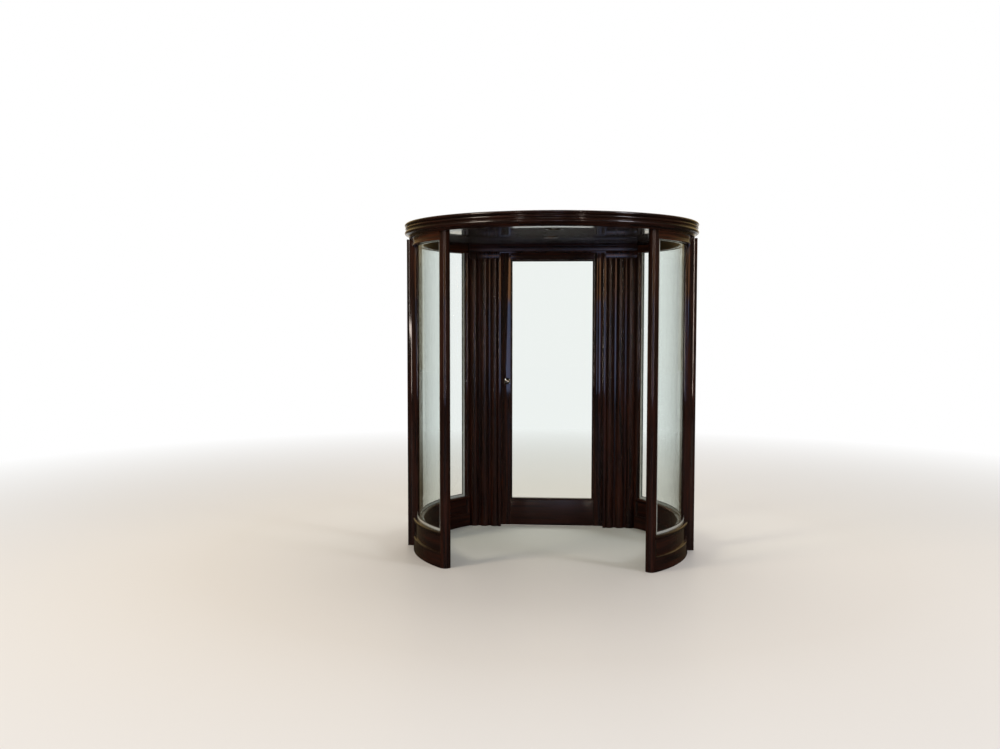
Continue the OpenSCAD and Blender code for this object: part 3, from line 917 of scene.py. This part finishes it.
@dataclass
class EasedTimber:
    """Sawn and planed timbers whose long arrises are eased with a block plane.

    Attributes:
        finishes: The shared finishes.
        width: Width of the eased arris.
        least_length: Length of the shortest edge that is eased.
        least_angle: Angle of the bluntest edge that is eased, in radians.
        flat_within: Angle under which neighbouring triangles count as one flat face, in radians.
    """

    finishes: Finishes
    width: float = 1.5 * MM
    least_length: float = 0.1
    least_angle: float = math.radians(35)
    flat_within: float = math.radians(0.3)

    def build(self, node: str, body: Body, finish: Mahogany) -> None:
        """Model an eased copy of a packed timber, which stands for it.

        Args:
            node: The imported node.
            body: The body that carries it.
            finish: Its finish.
        """
        piece = bpy.data.objects.new(f"{node}_eased", frame["nodes"][node].data.copy())
        bpy.context.scene.collection.objects.link(piece)
        bpy.ops.object.select_all(action="DESELECT")
        piece.select_set(True)
        bpy.context.view_layer.objects.active = piece
        bpy.ops.mesh.customdata_custom_splitnormals_clear()
        bpy.ops.object.mode_set(mode="EDIT")
        bpy.ops.mesh.select_all(action="SELECT")
        bpy.ops.mesh.remove_doubles(threshold=DOUBLES_WITHIN)
        bpy.ops.mesh.dissolve_limited(angle_limit=self.flat_within)
        pick_arrises(self.least_angle, self.least_length)
        bpy.ops.mesh.bevel(offset=self.width, segments=2, affect="EDGES", clamp_overlap=True)
        close_up()
        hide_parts(node)
        keep(piece, body, self.finishes.get(finish))


@dataclass
class Canopy:
    """Cornice ring, glossy ceiling, roof boards, and the ceiling's two fittings with their lens and screws.

    Attributes:
        finishes: The shared finishes.
        lens_radius: Radius of the lamp's lens, inside its can.
        lens_inset: How far the lens sits above the flange.
        lens_rim: Height of the lens's rim.
        lens_lip: Width of the flat lip round its dome.
        lens_sag: How far the dome hangs, as a share of the radius.
        screw_circle: Radius of the circle of screws in the bearing's plate.
        plate_thickness: Thickness of that plate.
    """

    finishes: Finishes
    lens_radius: float = 46.6 * MM
    lens_inset: float = 14 * MM
    lens_rim: float = 3 * MM
    lens_lip: float = 2 * MM
    lens_sag: float = 0.22
    screw_circle: float = 43 * MM
    plate_thickness: float = 5 * MM

    def lens(self) -> None:
        """Model the shallow domed lens, hung in the can."""
        low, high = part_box("ceiling_light")
        piece = start("lamp_lens", bpy.ops.mesh.primitive_circle_add, vertices=64, radius=self.lens_radius,
                      fill_type="NGON")
        turn_profile([(self.lens_radius, self.lens_rim)], self.lens_radius)
        pick_faces(lambda centre, normal: centre.z < MM and abs(normal.z) > 0.9)
        bpy.ops.mesh.inset(thickness=self.lens_lip)
        dome = [(self.lens_radius * math.cos(rise), -self.lens_radius * self.lens_sag * math.sin(rise))
                for rise in (math.radians(18 * ring) for ring in range(1, 5))]
        turn_profile(dome, self.lens_radius - self.lens_lip)
        pick_faces(lambda centre, normal: True)
        middle = (low + high) / 2
        bpy.ops.transform.translate(value=(middle.x, middle.y, low.z + self.lens_inset))
        close_up()
        keep(piece, Body.DRUM, self.finishes.get(EtchedLens("etched_lens")))

    def plate_screws(self) -> None:
        """Screw the bearing's plate to the ceiling."""
        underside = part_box("bearing_plate")[1].z - self.plate_thickness
        places = []
        for i in range(4):
            turn = math.radians(45 + 90 * i)
            spot = Vector((self.screw_circle * math.cos(turn), self.screw_circle * math.sin(turn), underside))
            places.append((f"plate_screw_{i}", facing(Vector((0, 0, -1)), spot, 0.7 * i)))
        Screw().drive(places, Body.DRUM, self.finishes.get(RUBBED_BRONZE))

    def build(self) -> None:
        """Dress the canopy's pieces and model its small ones."""
        dress(self.finishes, "cornice", Mahogany("mahogany_cornice", Grain.ROUND, 1, polish=0.16, segment_deg=40))
        # The ceiling's varnish is bright enough to mirror the room. Its timber colours are also painted grey, as a
        # painted reflection of that room.
        dress(self.finishes, "ceiling", Mahogany("mahogany_ceiling_painted_reflection", Grain.ACROSS, 2, deep="#2c2a2b",
                                                 body="#524e4f", warm="#48362e", polish=0.03))
        dress(self.finishes, "roof_board", DeckBoards("deck_boards"))
        for fitting in ("ceiling_light", "bearing_plate"):
            dress(self.finishes, fitting, PATINATED_BRONZE)
        self.lens()
        self.plate_screws()


@dataclass
class CurvedWalls:
    """The four quarters of the curved wall, with their throat posts, and the two side posts.

    Attributes:
        finishes: The shared finishes.
        glass: Thickness of the curved glass.
        lip_height: Height of the channel's lips on the cap rail.
        channel_depth: Depth of the channel against the throat post.
        side_depth: Depth of the side posts along the passage.
        bead: Width and height of the putty bead in each corner of glass and channel.
        bead_round: How much of the bead its rounded corner takes.
        clear: Angles left free where the beads begin, on the glass's inner and outer face, in radians.
        quarters: The quarters' names.
    """

    finishes: Finishes
    glass: float = 12 * MM
    lip_height: float = 16 * MM
    channel_depth: float = 14 * MM
    side_depth: float = 120 * MM
    bead: float = 2.8 * MM
    bead_round: float = 0.8
    clear: tuple[float, float] = (0.002, 0.001)
    quarters: tuple[str, ...] = ("front_left", "front_right", "rear_left", "rear_right")

    def putty(self) -> bpy.types.Object:
        """Model the putty of the rear right quarter: on both faces along the foot, the head and the post.

        Returns:
            The model, in object mode.
        """
        wall_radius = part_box("rear_right_glass")[1].x - self.glass / 2
        post_low, post_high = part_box("rear_right_post")
        post_middle = (post_low + post_high) / 2
        channel_low, channel_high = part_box("rear_right_channel")
        foot = channel_low.z + self.lip_height
        head = channel_high.z
        post_reach = (post_high.x - post_low.x) / 2 + self.channel_depth
        end_angle = math.atan2(post_middle.y, post_middle.x) - post_reach / wall_radius
        pieces = []
        for face in (-1, 1):
            radius = wall_radius + face * (self.glass + self.bead) / 2
            begin = self.clear[0] if face < 0 else math.asin(self.side_depth / 2 / wall_radius) + self.clear[1]
            for end, height in ((1, foot + self.bead / 2), (-1, head - self.bead / 2)):
                pieces.append(self.arc_bead(radius, height, begin, end_angle, face, end))
            pieces.append(self.post_bead(radius, foot, head, end_angle, face))
        bpy.ops.object.select_all(action="DESELECT")
        for piece in pieces:
            piece.select_set(True)
        bpy.context.view_layer.objects.active = pieces[0]
        bpy.ops.object.join()
        return pieces[0]

    def arc_bead(self, radius: float, height: float, begin: float, end: float, face: int,
                 upwards: int) -> bpy.types.Object:
        """Model a bead along the wall's foot or head.

        Args:
            radius: The bead's middle radius.
            height: The bead's middle height.
            begin: The angle at which it begins, in radians.
            end: The angle at which it ends.
            face: 1 on the outer face of the glass, -1 on the inner.
            upwards: 1 where it stands on the channel, -1 where it hangs from the head rail.

        Returns:
            The bead, in object mode.
        """
        along = Vector((math.cos(begin), math.sin(begin), 0))
        piece = start("putty", bpy.ops.mesh.primitive_plane_add, size=self.bead,
                      location=(*(radius * along).xy, height), rotation=(math.pi / 2, 0, begin))
        pick_points(lambda at: face * (at.xy.length - radius) > 0 and upwards * (at.z - height) > 0)
        bpy.ops.mesh.bevel(offset=self.bead_round * self.bead, segments=4, affect="VERTICES")
        pick_faces(lambda centre, normal: True)
        bpy.ops.mesh.spin(steps=40, angle=begin - end, center=(0, 0, 0), axis=(0, 0, 1))
        close_up()
        return piece

    def post_bead(self, radius: float, foot: float, head: float, angle: float, face: int) -> bpy.types.Object:
        """Model a bead up the channel against the post.

        Args:
            radius: The bead's middle radius.
            foot: The height at which it begins.
            head: The height at which it ends.
            angle: The angle of the channel's edge, in radians.
            face: 1 on the outer face of the glass, -1 on the inner.

        Returns:
            The bead, in object mode.
        """
        middle = angle - self.bead / 2 / radius
        along = Vector((math.cos(middle), math.sin(middle), 0))
        piece = start("putty", bpy.ops.mesh.primitive_plane_add, size=self.bead,
                      location=(*(radius * along).xy, foot), rotation=(0, 0, middle))
        pick_points(lambda at: face * (at.xy.length - radius) > 0 and math.atan2(at.y, at.x) < middle)
        bpy.ops.mesh.bevel(offset=self.bead_round * self.bead, segments=4, affect="VERTICES")
        pick_faces(lambda centre, normal: True)
        bpy.ops.mesh.extrude_region_move(TRANSFORM_OT_translate={"value": (0, 0, head - foot)})
        close_up()
        return piece

    def build(self) -> None:
        """Dress the walls' pieces and putty the glass in."""
        for seed, quarter in enumerate(self.quarters):
            parts = {
                "post": Mahogany(f"mahogany_post_{seed}", Grain.UPRIGHT, 10 + seed),
                "kick": Mahogany(f"mahogany_kick_{seed}", Grain.ROUND, 20 + seed),
                "cap": Mahogany("mahogany_cap", Grain.ROUND, 30),
                "head_rail": Mahogany("mahogany_head_rail", Grain.ROUND, 40, body="#30190f", warm="#5a2c14"),
                "channel": PolishedMetal("satin_channel", colour="#e6e9e2", worn="#c9ccc4", rough=(0.3, 0.42),
                                         metallic=0.45),
                "glass": FloatGlass("bent_glass"),
            }
            for part, finish in parts.items():
                dress(self.finishes, f"{quarter}_{part}", finish)
        timber = EasedTimber(self.finishes)
        for seed, side in enumerate(("left", "right")):
            timber.build(f"{side}_side_post", Body.DRUM, Mahogany(f"mahogany_side_{seed}", Grain.UPRIGHT, 50 + seed))
        model = self.putty()
        putty = self.finishes.get(StainedPutty("stained_putty"))
        for quarter in self.quarters:
            end, side = quarter.split("_")
            mirrored = Matrix.Diagonal((1 if side == "right" else -1, 1 if end == "rear" else -1, 1, 1))
            keep(copy_to(model, f"{quarter}_putty", mirrored), Body.DRUM, putty)
        discard(model)


class HingeSide(Enum):
    """Which half of the hinges a screw holds."""

    JAMB = "jamb"
    LEAF = "leaf"


@dataclass
class HingeFittings:
    """Screws of the hinge plates and the turned tips of the pins.

    Attributes:
        finishes: The shared finishes.
        height: Height of a hinge.
        rows: Distances of the screws from the hinge's middle.
        columns: Distances of the screws from the plate's inner edge, in turn.
        tip_radius: Radius of a pin's tip where it meets the knuckle.
        tip_rings: Radius and height of each turned ring of the tip.
    """

    finishes: Finishes
    height: float = 100 * MM
    rows: tuple[float, ...] = (-38 * MM, -13 * MM, 13 * MM, 38 * MM)
    columns: tuple[float, ...] = (10 * MM, 28 * MM)
    tip_radius: float = 5.5 * MM
    tip_rings: tuple[tuple[float, float], ...] = (
        (5.9 * MM, 0.5 * MM), (5.9 * MM, 1.6 * MM), (3.0 * MM, 2.2 * MM), (2.8 * MM, 3.2 * MM), (4.4 * MM, 4.4 * MM),
        (5.0 * MM, 6.0 * MM), (4.6 * MM, 7.6 * MM), (3.2 * MM, 9.2 * MM), (1.4 * MM, 10.4 * MM))

    def middles(self) -> list[float]:
        """Find the hinges' heights.

        Returns:
            The height of each hinge's middle, from the lowest up.
        """
        low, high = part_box("jamb_hinges")
        lowest, highest = low.z + self.height / 2, high.z - self.height / 2
        return [lowest, (lowest + highest) / 2, highest]

    def screws(self, side: HingeSide) -> None:
        """Screw one half of the hinges on.

        Args:
            side: Which half.
        """
        on_jamb = side is HingeSide.JAMB
        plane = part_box("right_jamb")[0].x if on_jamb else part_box("leaf_hinge_stile")[1].x
        outwards = Vector((-1 if on_jamb else 1, 0, 0))
        inner_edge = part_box("jamb_hinges")[0].y
        places = []
        for hinge, middle in enumerate(self.middles()):
            for i, row in enumerate(self.rows):
                spot = Vector((plane, inner_edge + self.columns[i % 2], middle + row))
                places.append((f"{side.value}_hinge_screw_{hinge}_{i}", facing(outwards, spot, 1.9 * i + hinge)))
        body = Body.DRUM if on_jamb else Body.LEAF
        Screw().drive(places, body, self.finishes.get(RUBBED_BRONZE))

    def tips(self) -> None:
        """Turn a tip for each end of each pin."""
        model = start("pin_tip", bpy.ops.mesh.primitive_circle_add, vertices=24, radius=self.tip_radius,
                      fill_type="NGON")
        turn_profile(self.tip_rings, self.tip_radius)
        close_up()
        pin = Vector(frame["joints"][0]["pos_m"])
        bronze = self.finishes.get(PATINATED_BRONZE)
        for hinge, middle in enumerate(self.middles()):
            for name, end in (("top", 1), ("foot", -1)):
                spot = Vector((pin.x, pin.y, middle + end * self.height / 2))
                tip = copy_to(model, f"pin_{name}_{hinge}", facing(Vector((0, 0, end)), spot))
                keep(tip, Body.DRUM, bronze)
        discard(model)

    def build(self) -> None:
        """Dress the hinges and fit their screws and tips."""
        for side in HingeSide:
            dress(self.finishes, f"{side.value}_hinges", PATINATED_BRONZE)
        for side in HingeSide:
            self.screws(side)
        self.tips()


@dataclass
class OuterDoorway:
    """Reeded jambs, head, stops with their pile strips, and the strike plate.

    Attributes:
        finishes: The shared finishes.
        stop_width: Width of the stops.
        pile_width: Width of the pile strips.
        pile_height: How far the pile stands up, just short of the leaf.
        floor_clear: Gap left under the strips.
        strike_screws: Distance of the strike's screws from its middle.
    """

    finishes: Finishes
    stop_width: float = 12 * MM
    pile_width: float = 5 * MM
    pile_height: float = 1.2 * MM
    floor_clear: float = 14 * MM
    strike_screws: float = 24 * MM

    def pile_strips(self) -> None:
        """Model a strip of pile along each stop, where the leaf closes on it."""
        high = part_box("door_stops")[1]
        leaf_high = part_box("leaf_hinge_stile")[1]
        across = ((high.x - self.stop_width) + leaf_high.x) / 2
        over = ((high.z - self.stop_width) + leaf_high.z) / 2
        pile = self.finishes.get(MohairPile("mohair_pile"))
        upwards = Vector((0, 0, over - self.pile_width - self.floor_clear))
        runs = {
            "left_pile": (Vector((-across, high.y, self.floor_clear)), upwards),
            "right_pile": (Vector((across, high.y, self.floor_clear)), upwards),
            "head_pile": (Vector((-across - self.pile_width / 2, high.y, over)),
                          Vector((2 * across + self.pile_width, 0, 0))),
        }
        for name, (begin, run) in runs.items():
            upright = run.z > 0
            piece = start(name, bpy.ops.mesh.primitive_plane_add, size=1, location=begin,
                          rotation=(0, 0, 0) if upright else (0, math.pi / 2, 0))
            width, depth = self.pile_width, 2 * self.pile_height
            size = (width, depth, 1) if upright else (1, depth, width)
            bpy.ops.transform.resize(value=size, center_override=begin)
            pick_points(lambda at: at.y > high.y)
            bpy.ops.mesh.bevel(offset=0.7 * self.pile_height, segments=3, affect="VERTICES")
            pick_points(lambda at: at.y < high.y)
            bpy.ops.transform.translate(value=(0, self.pile_height, 0))
            pick_faces(lambda centre, normal: True)
            bpy.ops.mesh.extrude_region_move(TRANSFORM_OT_translate={"value": run})
            close_up()
            keep(piece, Body.DRUM, pile)

    def build(self) -> None:
        """Dress the doorway's pieces and model its small ones."""
        timber = EasedTimber(self.finishes)
        timber.build("left_jamb", Body.DRUM, Mahogany("mahogany_left_reeds", Grain.UPRIGHT, 60, polish=0.13))
        timber.build("right_jamb", Body.DRUM, Mahogany("mahogany_right_reeds", Grain.UPRIGHT, 61, polish=0.13))
        timber.build("doorway_head", Body.DRUM, Mahogany("mahogany_head", Grain.ACROSS, 62, polish=0.2))
        dress(self.finishes, "door_stops", Mahogany("mahogany_stops", Grain.UPRIGHT, 63))
        dress(self.finishes, "strike_plate", POLISHED_LOCK)
        self.pile_strips()
        LockPlate("strike", Body.DRUM, 1, self.strike_screws, 0).screw_on(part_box("strike_plate")[1].x, self.finishes)


@dataclass
class Leaf:
    """The hinged leaf with its pane, beads and lock.

    Attributes:
        finishes: The shared finishes.
        latch_screws: Distance of the latch plate's screws from its middle.
    """

    finishes: Finishes
    latch_screws: float = 46 * MM

    def build(self) -> None:
        """Dress the leaf's pieces and screw its latch plate on."""
        timber = EasedTimber(self.finishes)
        timber.build("leaf_lock_stile", Body.LEAF, Mahogany("mahogany_lock_stile", Grain.UPRIGHT, 70))
        timber.build("leaf_hinge_stile", Body.LEAF, Mahogany("mahogany_hinge_stile", Grain.UPRIGHT, 71))
        timber.build("leaf_top_rail", Body.LEAF, Mahogany("mahogany_top_rail", Grain.ACROSS, 72))
        timber.build("leaf_bottom_rail", Body.LEAF, Mahogany("mahogany_bottom_rail", Grain.ACROSS, 73, polish=0.3))
        dress(self.finishes, "leaf_beads", Mahogany("mahogany_beads", Grain.UPRIGHT, 74, polish=0.3))
        dress(self.finishes, "leaf_pane", FloatGlass("flat_glass", wave_mm=400.0))
        dress(self.finishes, "leaf_lock", POLISHED_LOCK)
        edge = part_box("leaf_lock_stile")[0].x
        LockPlate("latch", Body.LEAF, -1, self.latch_screws, 0.6).screw_on(edge, self.finishes)


@dataclass(frozen=True)
class SoftLamp:
    """A rectangular lamp that faces the drum.

    Attributes:
        name: The lamp's name.
        place: Where it hangs, in metres.
        size: Its width and height, in metres.
        power: Its power in watts.
        colour: Its colour in hex.
        target: The point that it faces.
    """

    name: str
    place: tuple[float, float, float]
    size: tuple[float, float]
    power: float
    colour: str
    target: tuple[float, float, float] = (0.0, 0.0, 1.2)

    def build(self) -> None:
        """Hang the lamp."""
        data = bpy.data.lights.new(self.name, "AREA")
        data.shape = "RECTANGLE"
        data.size, data.size_y = self.size
        data.energy = self.power
        data.color = linear(self.colour)[:3]
        lamp = bpy.data.objects.new(self.name, data)
        bpy.context.scene.collection.objects.link(lamp)
        lamp.location = self.place
        lamp.rotation_euler = (Vector(self.target) - lamp.location).to_track_quat("-Z", "Y").to_euler()
        log.info("hung %s", self.name)


@dataclass
class Studio:
    """Pale floor, soft lamps and a white surround.

    Attributes:
        floor_radius: Where the floor ends, in metres.
        fade: Radii between which the floor turns into the surround's white.
        behind: Cosines, off straight back, between which that white also shows in polished surfaces.
        floor_colour: The floor's colour near the drum.
        floor_gloss: The floor's colour as polished surfaces mirror it.
        ambient: Light that the surround gives, where 1 would be white.
        gloss_front: How bright the room in front of the drum looks in polished surfaces.
        gloss_back: How bright the windows behind it look in them.
        gloss_colour: The colour of both.
        window_foot: Heights, as sines, between which those windows begin.
        window_head: Heights between which they end.
        window_side: Cosines, off straight back, between which they show.
        behind_warmth: How much of that colour is left straight behind the drum.
        lamps: The lamps and reflecting cards.
    """

    floor_radius: float = 24.0
    fade: tuple[float, float] = (2.4, 7.5)
    behind: tuple[float, float] = (0.88, 0.97)
    floor_colour: str = "#d3cec7"
    floor_gloss: str = "#35322f"
    ambient: float = 0.62
    gloss_front: float = 0.06
    gloss_back: float = 0.8
    gloss_colour: str = "#ffdb96"
    window_foot: tuple[float, float] = (0.05, 0.15)
    window_head: tuple[float, float] = (0.5, 0.7)
    window_side: tuple[float, float] = (0.4, 0.9)
    behind_warmth: float = 0.25
    lamps: tuple[SoftLamp, ...] = (
        SoftLamp("lamp_left", (-4.4, -3.4, 5.0), (1.4, 1.4), 150, "#fff0dc"),
        SoftLamp("lamp_right", (4.6, -3.0, 4.8), (1.2, 1.2), 100, "#f2f3ff"),
        SoftLamp("lamp_over", (0.4, 1.6, 6.0), (4.0, 4.0), 210, "#ffffff"),
        SoftLamp("strip_left", (-3.5, -9.2, 2.1), (0.14, 3.4), 34, "#ffeee2", (-0.69, -0.67, 1.6)),
        SoftLamp("strip_right", (3.9, -9.2, 2.1), (0.14, 3.4), 40, "#ffeadb", (0.69, -0.67, 1.6)),
        SoftLamp("card_cool_left", (-1.16, -9.6, 1.15), (0.38, 1.7), 6, "#b4c8ff", (-1.16, 0.0, 1.15)),
        SoftLamp("card_cool_right", (1.1, -9.6, 1.15), (1.0, 1.7), 17, "#b4c8ff", (1.1, 0.0, 1.15)),
        SoftLamp("card_head", (0.0, -9.6, 3.05), (2.4, 0.6), 5, "#fff0e6", (0.0, 0.0, 3.05)),
        SoftLamp("card_warm_left", (-1.16, -9.6, 2.4), (0.38, 0.8), 4, "#ffb880", (-1.16, 0.0, 2.4)),
        SoftLamp("card_warm_right", (1.1, -9.6, 2.4), (1.0, 0.8), 8, "#ffb880", (1.1, 0.0, 2.4)),
    )

    def sight(self, tree: bpy.types.NodeTree) -> tuple[bpy.types.Node, bpy.types.Node]:
        """Tell how a ray has come to the floor or the surround.

        Args:
            tree: The node tree of either.

        Returns:
            Whether it was mirrored on its way, and whether it is looked along straight or only through glass.
        """
        path = add(tree, "LightPath").outputs
        mirrored = add(tree, "Math", {0: path["Glossy Depth"], 1: 1.0}, operation="MINIMUM")
        looked_at = add(tree, "Math", {0: path["Is Camera Ray"], 1: path["Is Transmission Ray"]}, operation="MAXIMUM")
        return mirrored, add(tree, "Math", {0: looked_at, 1: mirrored}, operation="GREATER_THAN")

    def floor(self) -> None:
        """Lay the floor, which fades into the surround's white."""
        piece = start("studio_floor", bpy.ops.mesh.primitive_circle_add, vertices=96, radius=self.floor_radius,
                      fill_type="NGON")
        bpy.ops.object.mode_set(mode="OBJECT")
        material, tree, output = blank("studio_floor")
        mirrored, seen = self.sight(tree)
        colour = add(tree, "Mix", {0: mirrored, 6: linear(self.floor_colour), 7: linear(self.floor_gloss)},
                     data_type="RGBA")
        honed = add(tree, "BsdfPrincipled", {
            "Base Color": colour, "Roughness": 0.45, "Specular IOR Level": 0.14})
        white = add(tree, "Emission", {"Color": linear("#ffffff"), "Strength": 1.0})
        place = add(tree, "TexCoord").outputs["Object"]
        distance = add(tree, "VectorMath", {0: place}, operation="LENGTH")
        far = add(tree, "MapRange", {0: distance, 1: self.fade[0], 2: self.fade[1]})
        y = add(tree, "SeparateXYZ", {0: place}).outputs["Y"]
        backwards = add(tree, "Math", {0: y, 1: distance}, operation="DIVIDE")
        behind = add(tree, "MapRange", {0: backwards, 1: self.behind[0], 2: self.behind[1]})
        mirrored_behind = add(tree, "Math", {0: mirrored, 1: behind}, operation="MULTIPLY")
        shown = add(tree, "Math", {0: seen, 1: mirrored_behind}, operation="MAXIMUM")
        share = add(tree, "Math", {0: far, 1: shown}, operation="MULTIPLY")
        mixed = add(tree, "MixShader", {0: share, 1: honed, 2: white})
        tree.links.new(mixed.outputs[0], output.inputs["Surface"])
        piece.data.materials.append(material)
        log.info("laid the floor")

    def surround(self) -> None:
        """Set the world: white to look at and through glass, and a room that is brighter behind in polish."""
        world = bpy.data.worlds.new("studio_surround")
        bpy.context.scene.world = world
        world.use_nodes = True
        tree = world.node_tree
        tree.nodes.clear()
        mirrored, seen = self.sight(tree)
        direction = add(tree, "TexCoord").outputs["Generated"]
        _, back, height = add(tree, "SeparateXYZ", {0: direction}).outputs
        foot, head, side = self.window_foot, self.window_head, self.window_side
        over_sill = add(tree, "MapRange", {0: height, 1: foot[0], 2: foot[1]})
        under_head = add(tree, "MapRange", {0: height, 1: head[0], 2: head[1], 3: 1.0, 4: 0.0})
        tall = add(tree, "Math", {0: over_sill, 1: under_head}, operation="MULTIPLY")
        wide = add(tree, "MapRange", {0: back, 1: side[0], 2: side[1]})
        window = add(tree, "Math", {0: tall, 1: wide}, operation="MULTIPLY")
        room = add(tree, "MapRange", {0: window, 3: self.gloss_front, 4: self.gloss_back})
        behind = add(tree, "MapRange", {0: back, 1: self.behind[0], 2: self.behind[1]})
        gloss = add(tree, "Math", {0: room, 1: behind}, operation="MAXIMUM")
        lit = add(tree, "Mix", {0: mirrored, 2: self.ambient, 3: gloss})
        strength = add(tree, "Mix", {0: seen, 2: lit, 3: 1.0})
        warmth = add(tree, "MapRange", {0: behind, 3: 1.0, 4: self.behind_warmth})
        warm = add(tree, "Math", {0: mirrored, 1: warmth}, operation="MULTIPLY")
        colour = add(tree, "Mix", {0: warm, 6: linear("#ffffff"), 7: linear(self.gloss_colour)}, data_type="RGBA")
        background = add(tree, "Background", {"Color": colour, "Strength": strength})
        output = add(tree, "OutputWorld")
        tree.links.new(background.outputs[0], output.inputs["Surface"])
        log.info("set the surround")

    def build(self) -> None:
        """Lay the floor, set the surround and hang the lamps."""
        self.floor()
        self.surround()
        for lamp in self.lamps:
            lamp.build()


@dataclass
class PhotoCamera:
    """The camera, as fitted to the photograph.

    Attributes:
        focal_px: Focal length in pixels of the photograph.
        place: The eye's place, in metres.
        pitch: How far it looks down, in radians.
        yaw: How far it is turned to the right, in radians.
        roll: Its roll, in radians.
    """

    focal_px: float = 964.89
    place: tuple[float, float, float] = (0.1574, -7.0531, 1.6825)
    pitch: float = 0.0588
    yaw: float = -0.0744
    roll: float = 0.0009

    def build(self) -> None:
        """Make the camera and set it as the scene's."""
        data = bpy.data.cameras.new("photo_camera")
        data.sensor_width = 36.0
        data.lens = self.focal_px / PHOTO_WIDTH * data.sensor_width
        camera = bpy.data.objects.new("photo_camera", data)
        bpy.context.scene.collection.objects.link(camera)
        level = math.cos(self.pitch)
        ahead = Vector((math.sin(self.yaw) * level, math.cos(self.yaw) * level, -math.sin(self.pitch)))
        right = Vector((math.cos(self.yaw), -math.sin(self.yaw), 0))
        over = right.cross(ahead)
        turned_right = math.cos(self.roll) * right + math.sin(self.roll) * over
        turned_up = math.cos(self.roll) * over - math.sin(self.roll) * right
        axes = Matrix((turned_right, turned_up, -ahead)).transposed()
        camera.matrix_world = Matrix.Translation(self.place) @ axes.to_4x4()
        bpy.context.scene.camera = camera
        log.info("set the camera")


def main() -> None:
    """Build the looks in order."""
    logging.basicConfig(level=logging.INFO, format="%(name)s: %(message)s")
    bpy.ops.object.select_all(action="DESELECT")
    bpy.context.scene.view_settings.view_transform = "Standard"
    finishes = Finishes()
    PhotoCamera().build()
    Studio().build()
    for assembly in (Canopy, CurvedWalls, OuterDoorway, HingeFittings, Leaf):
        assembly(finishes).build()


if __name__ == "__main__":
    main()
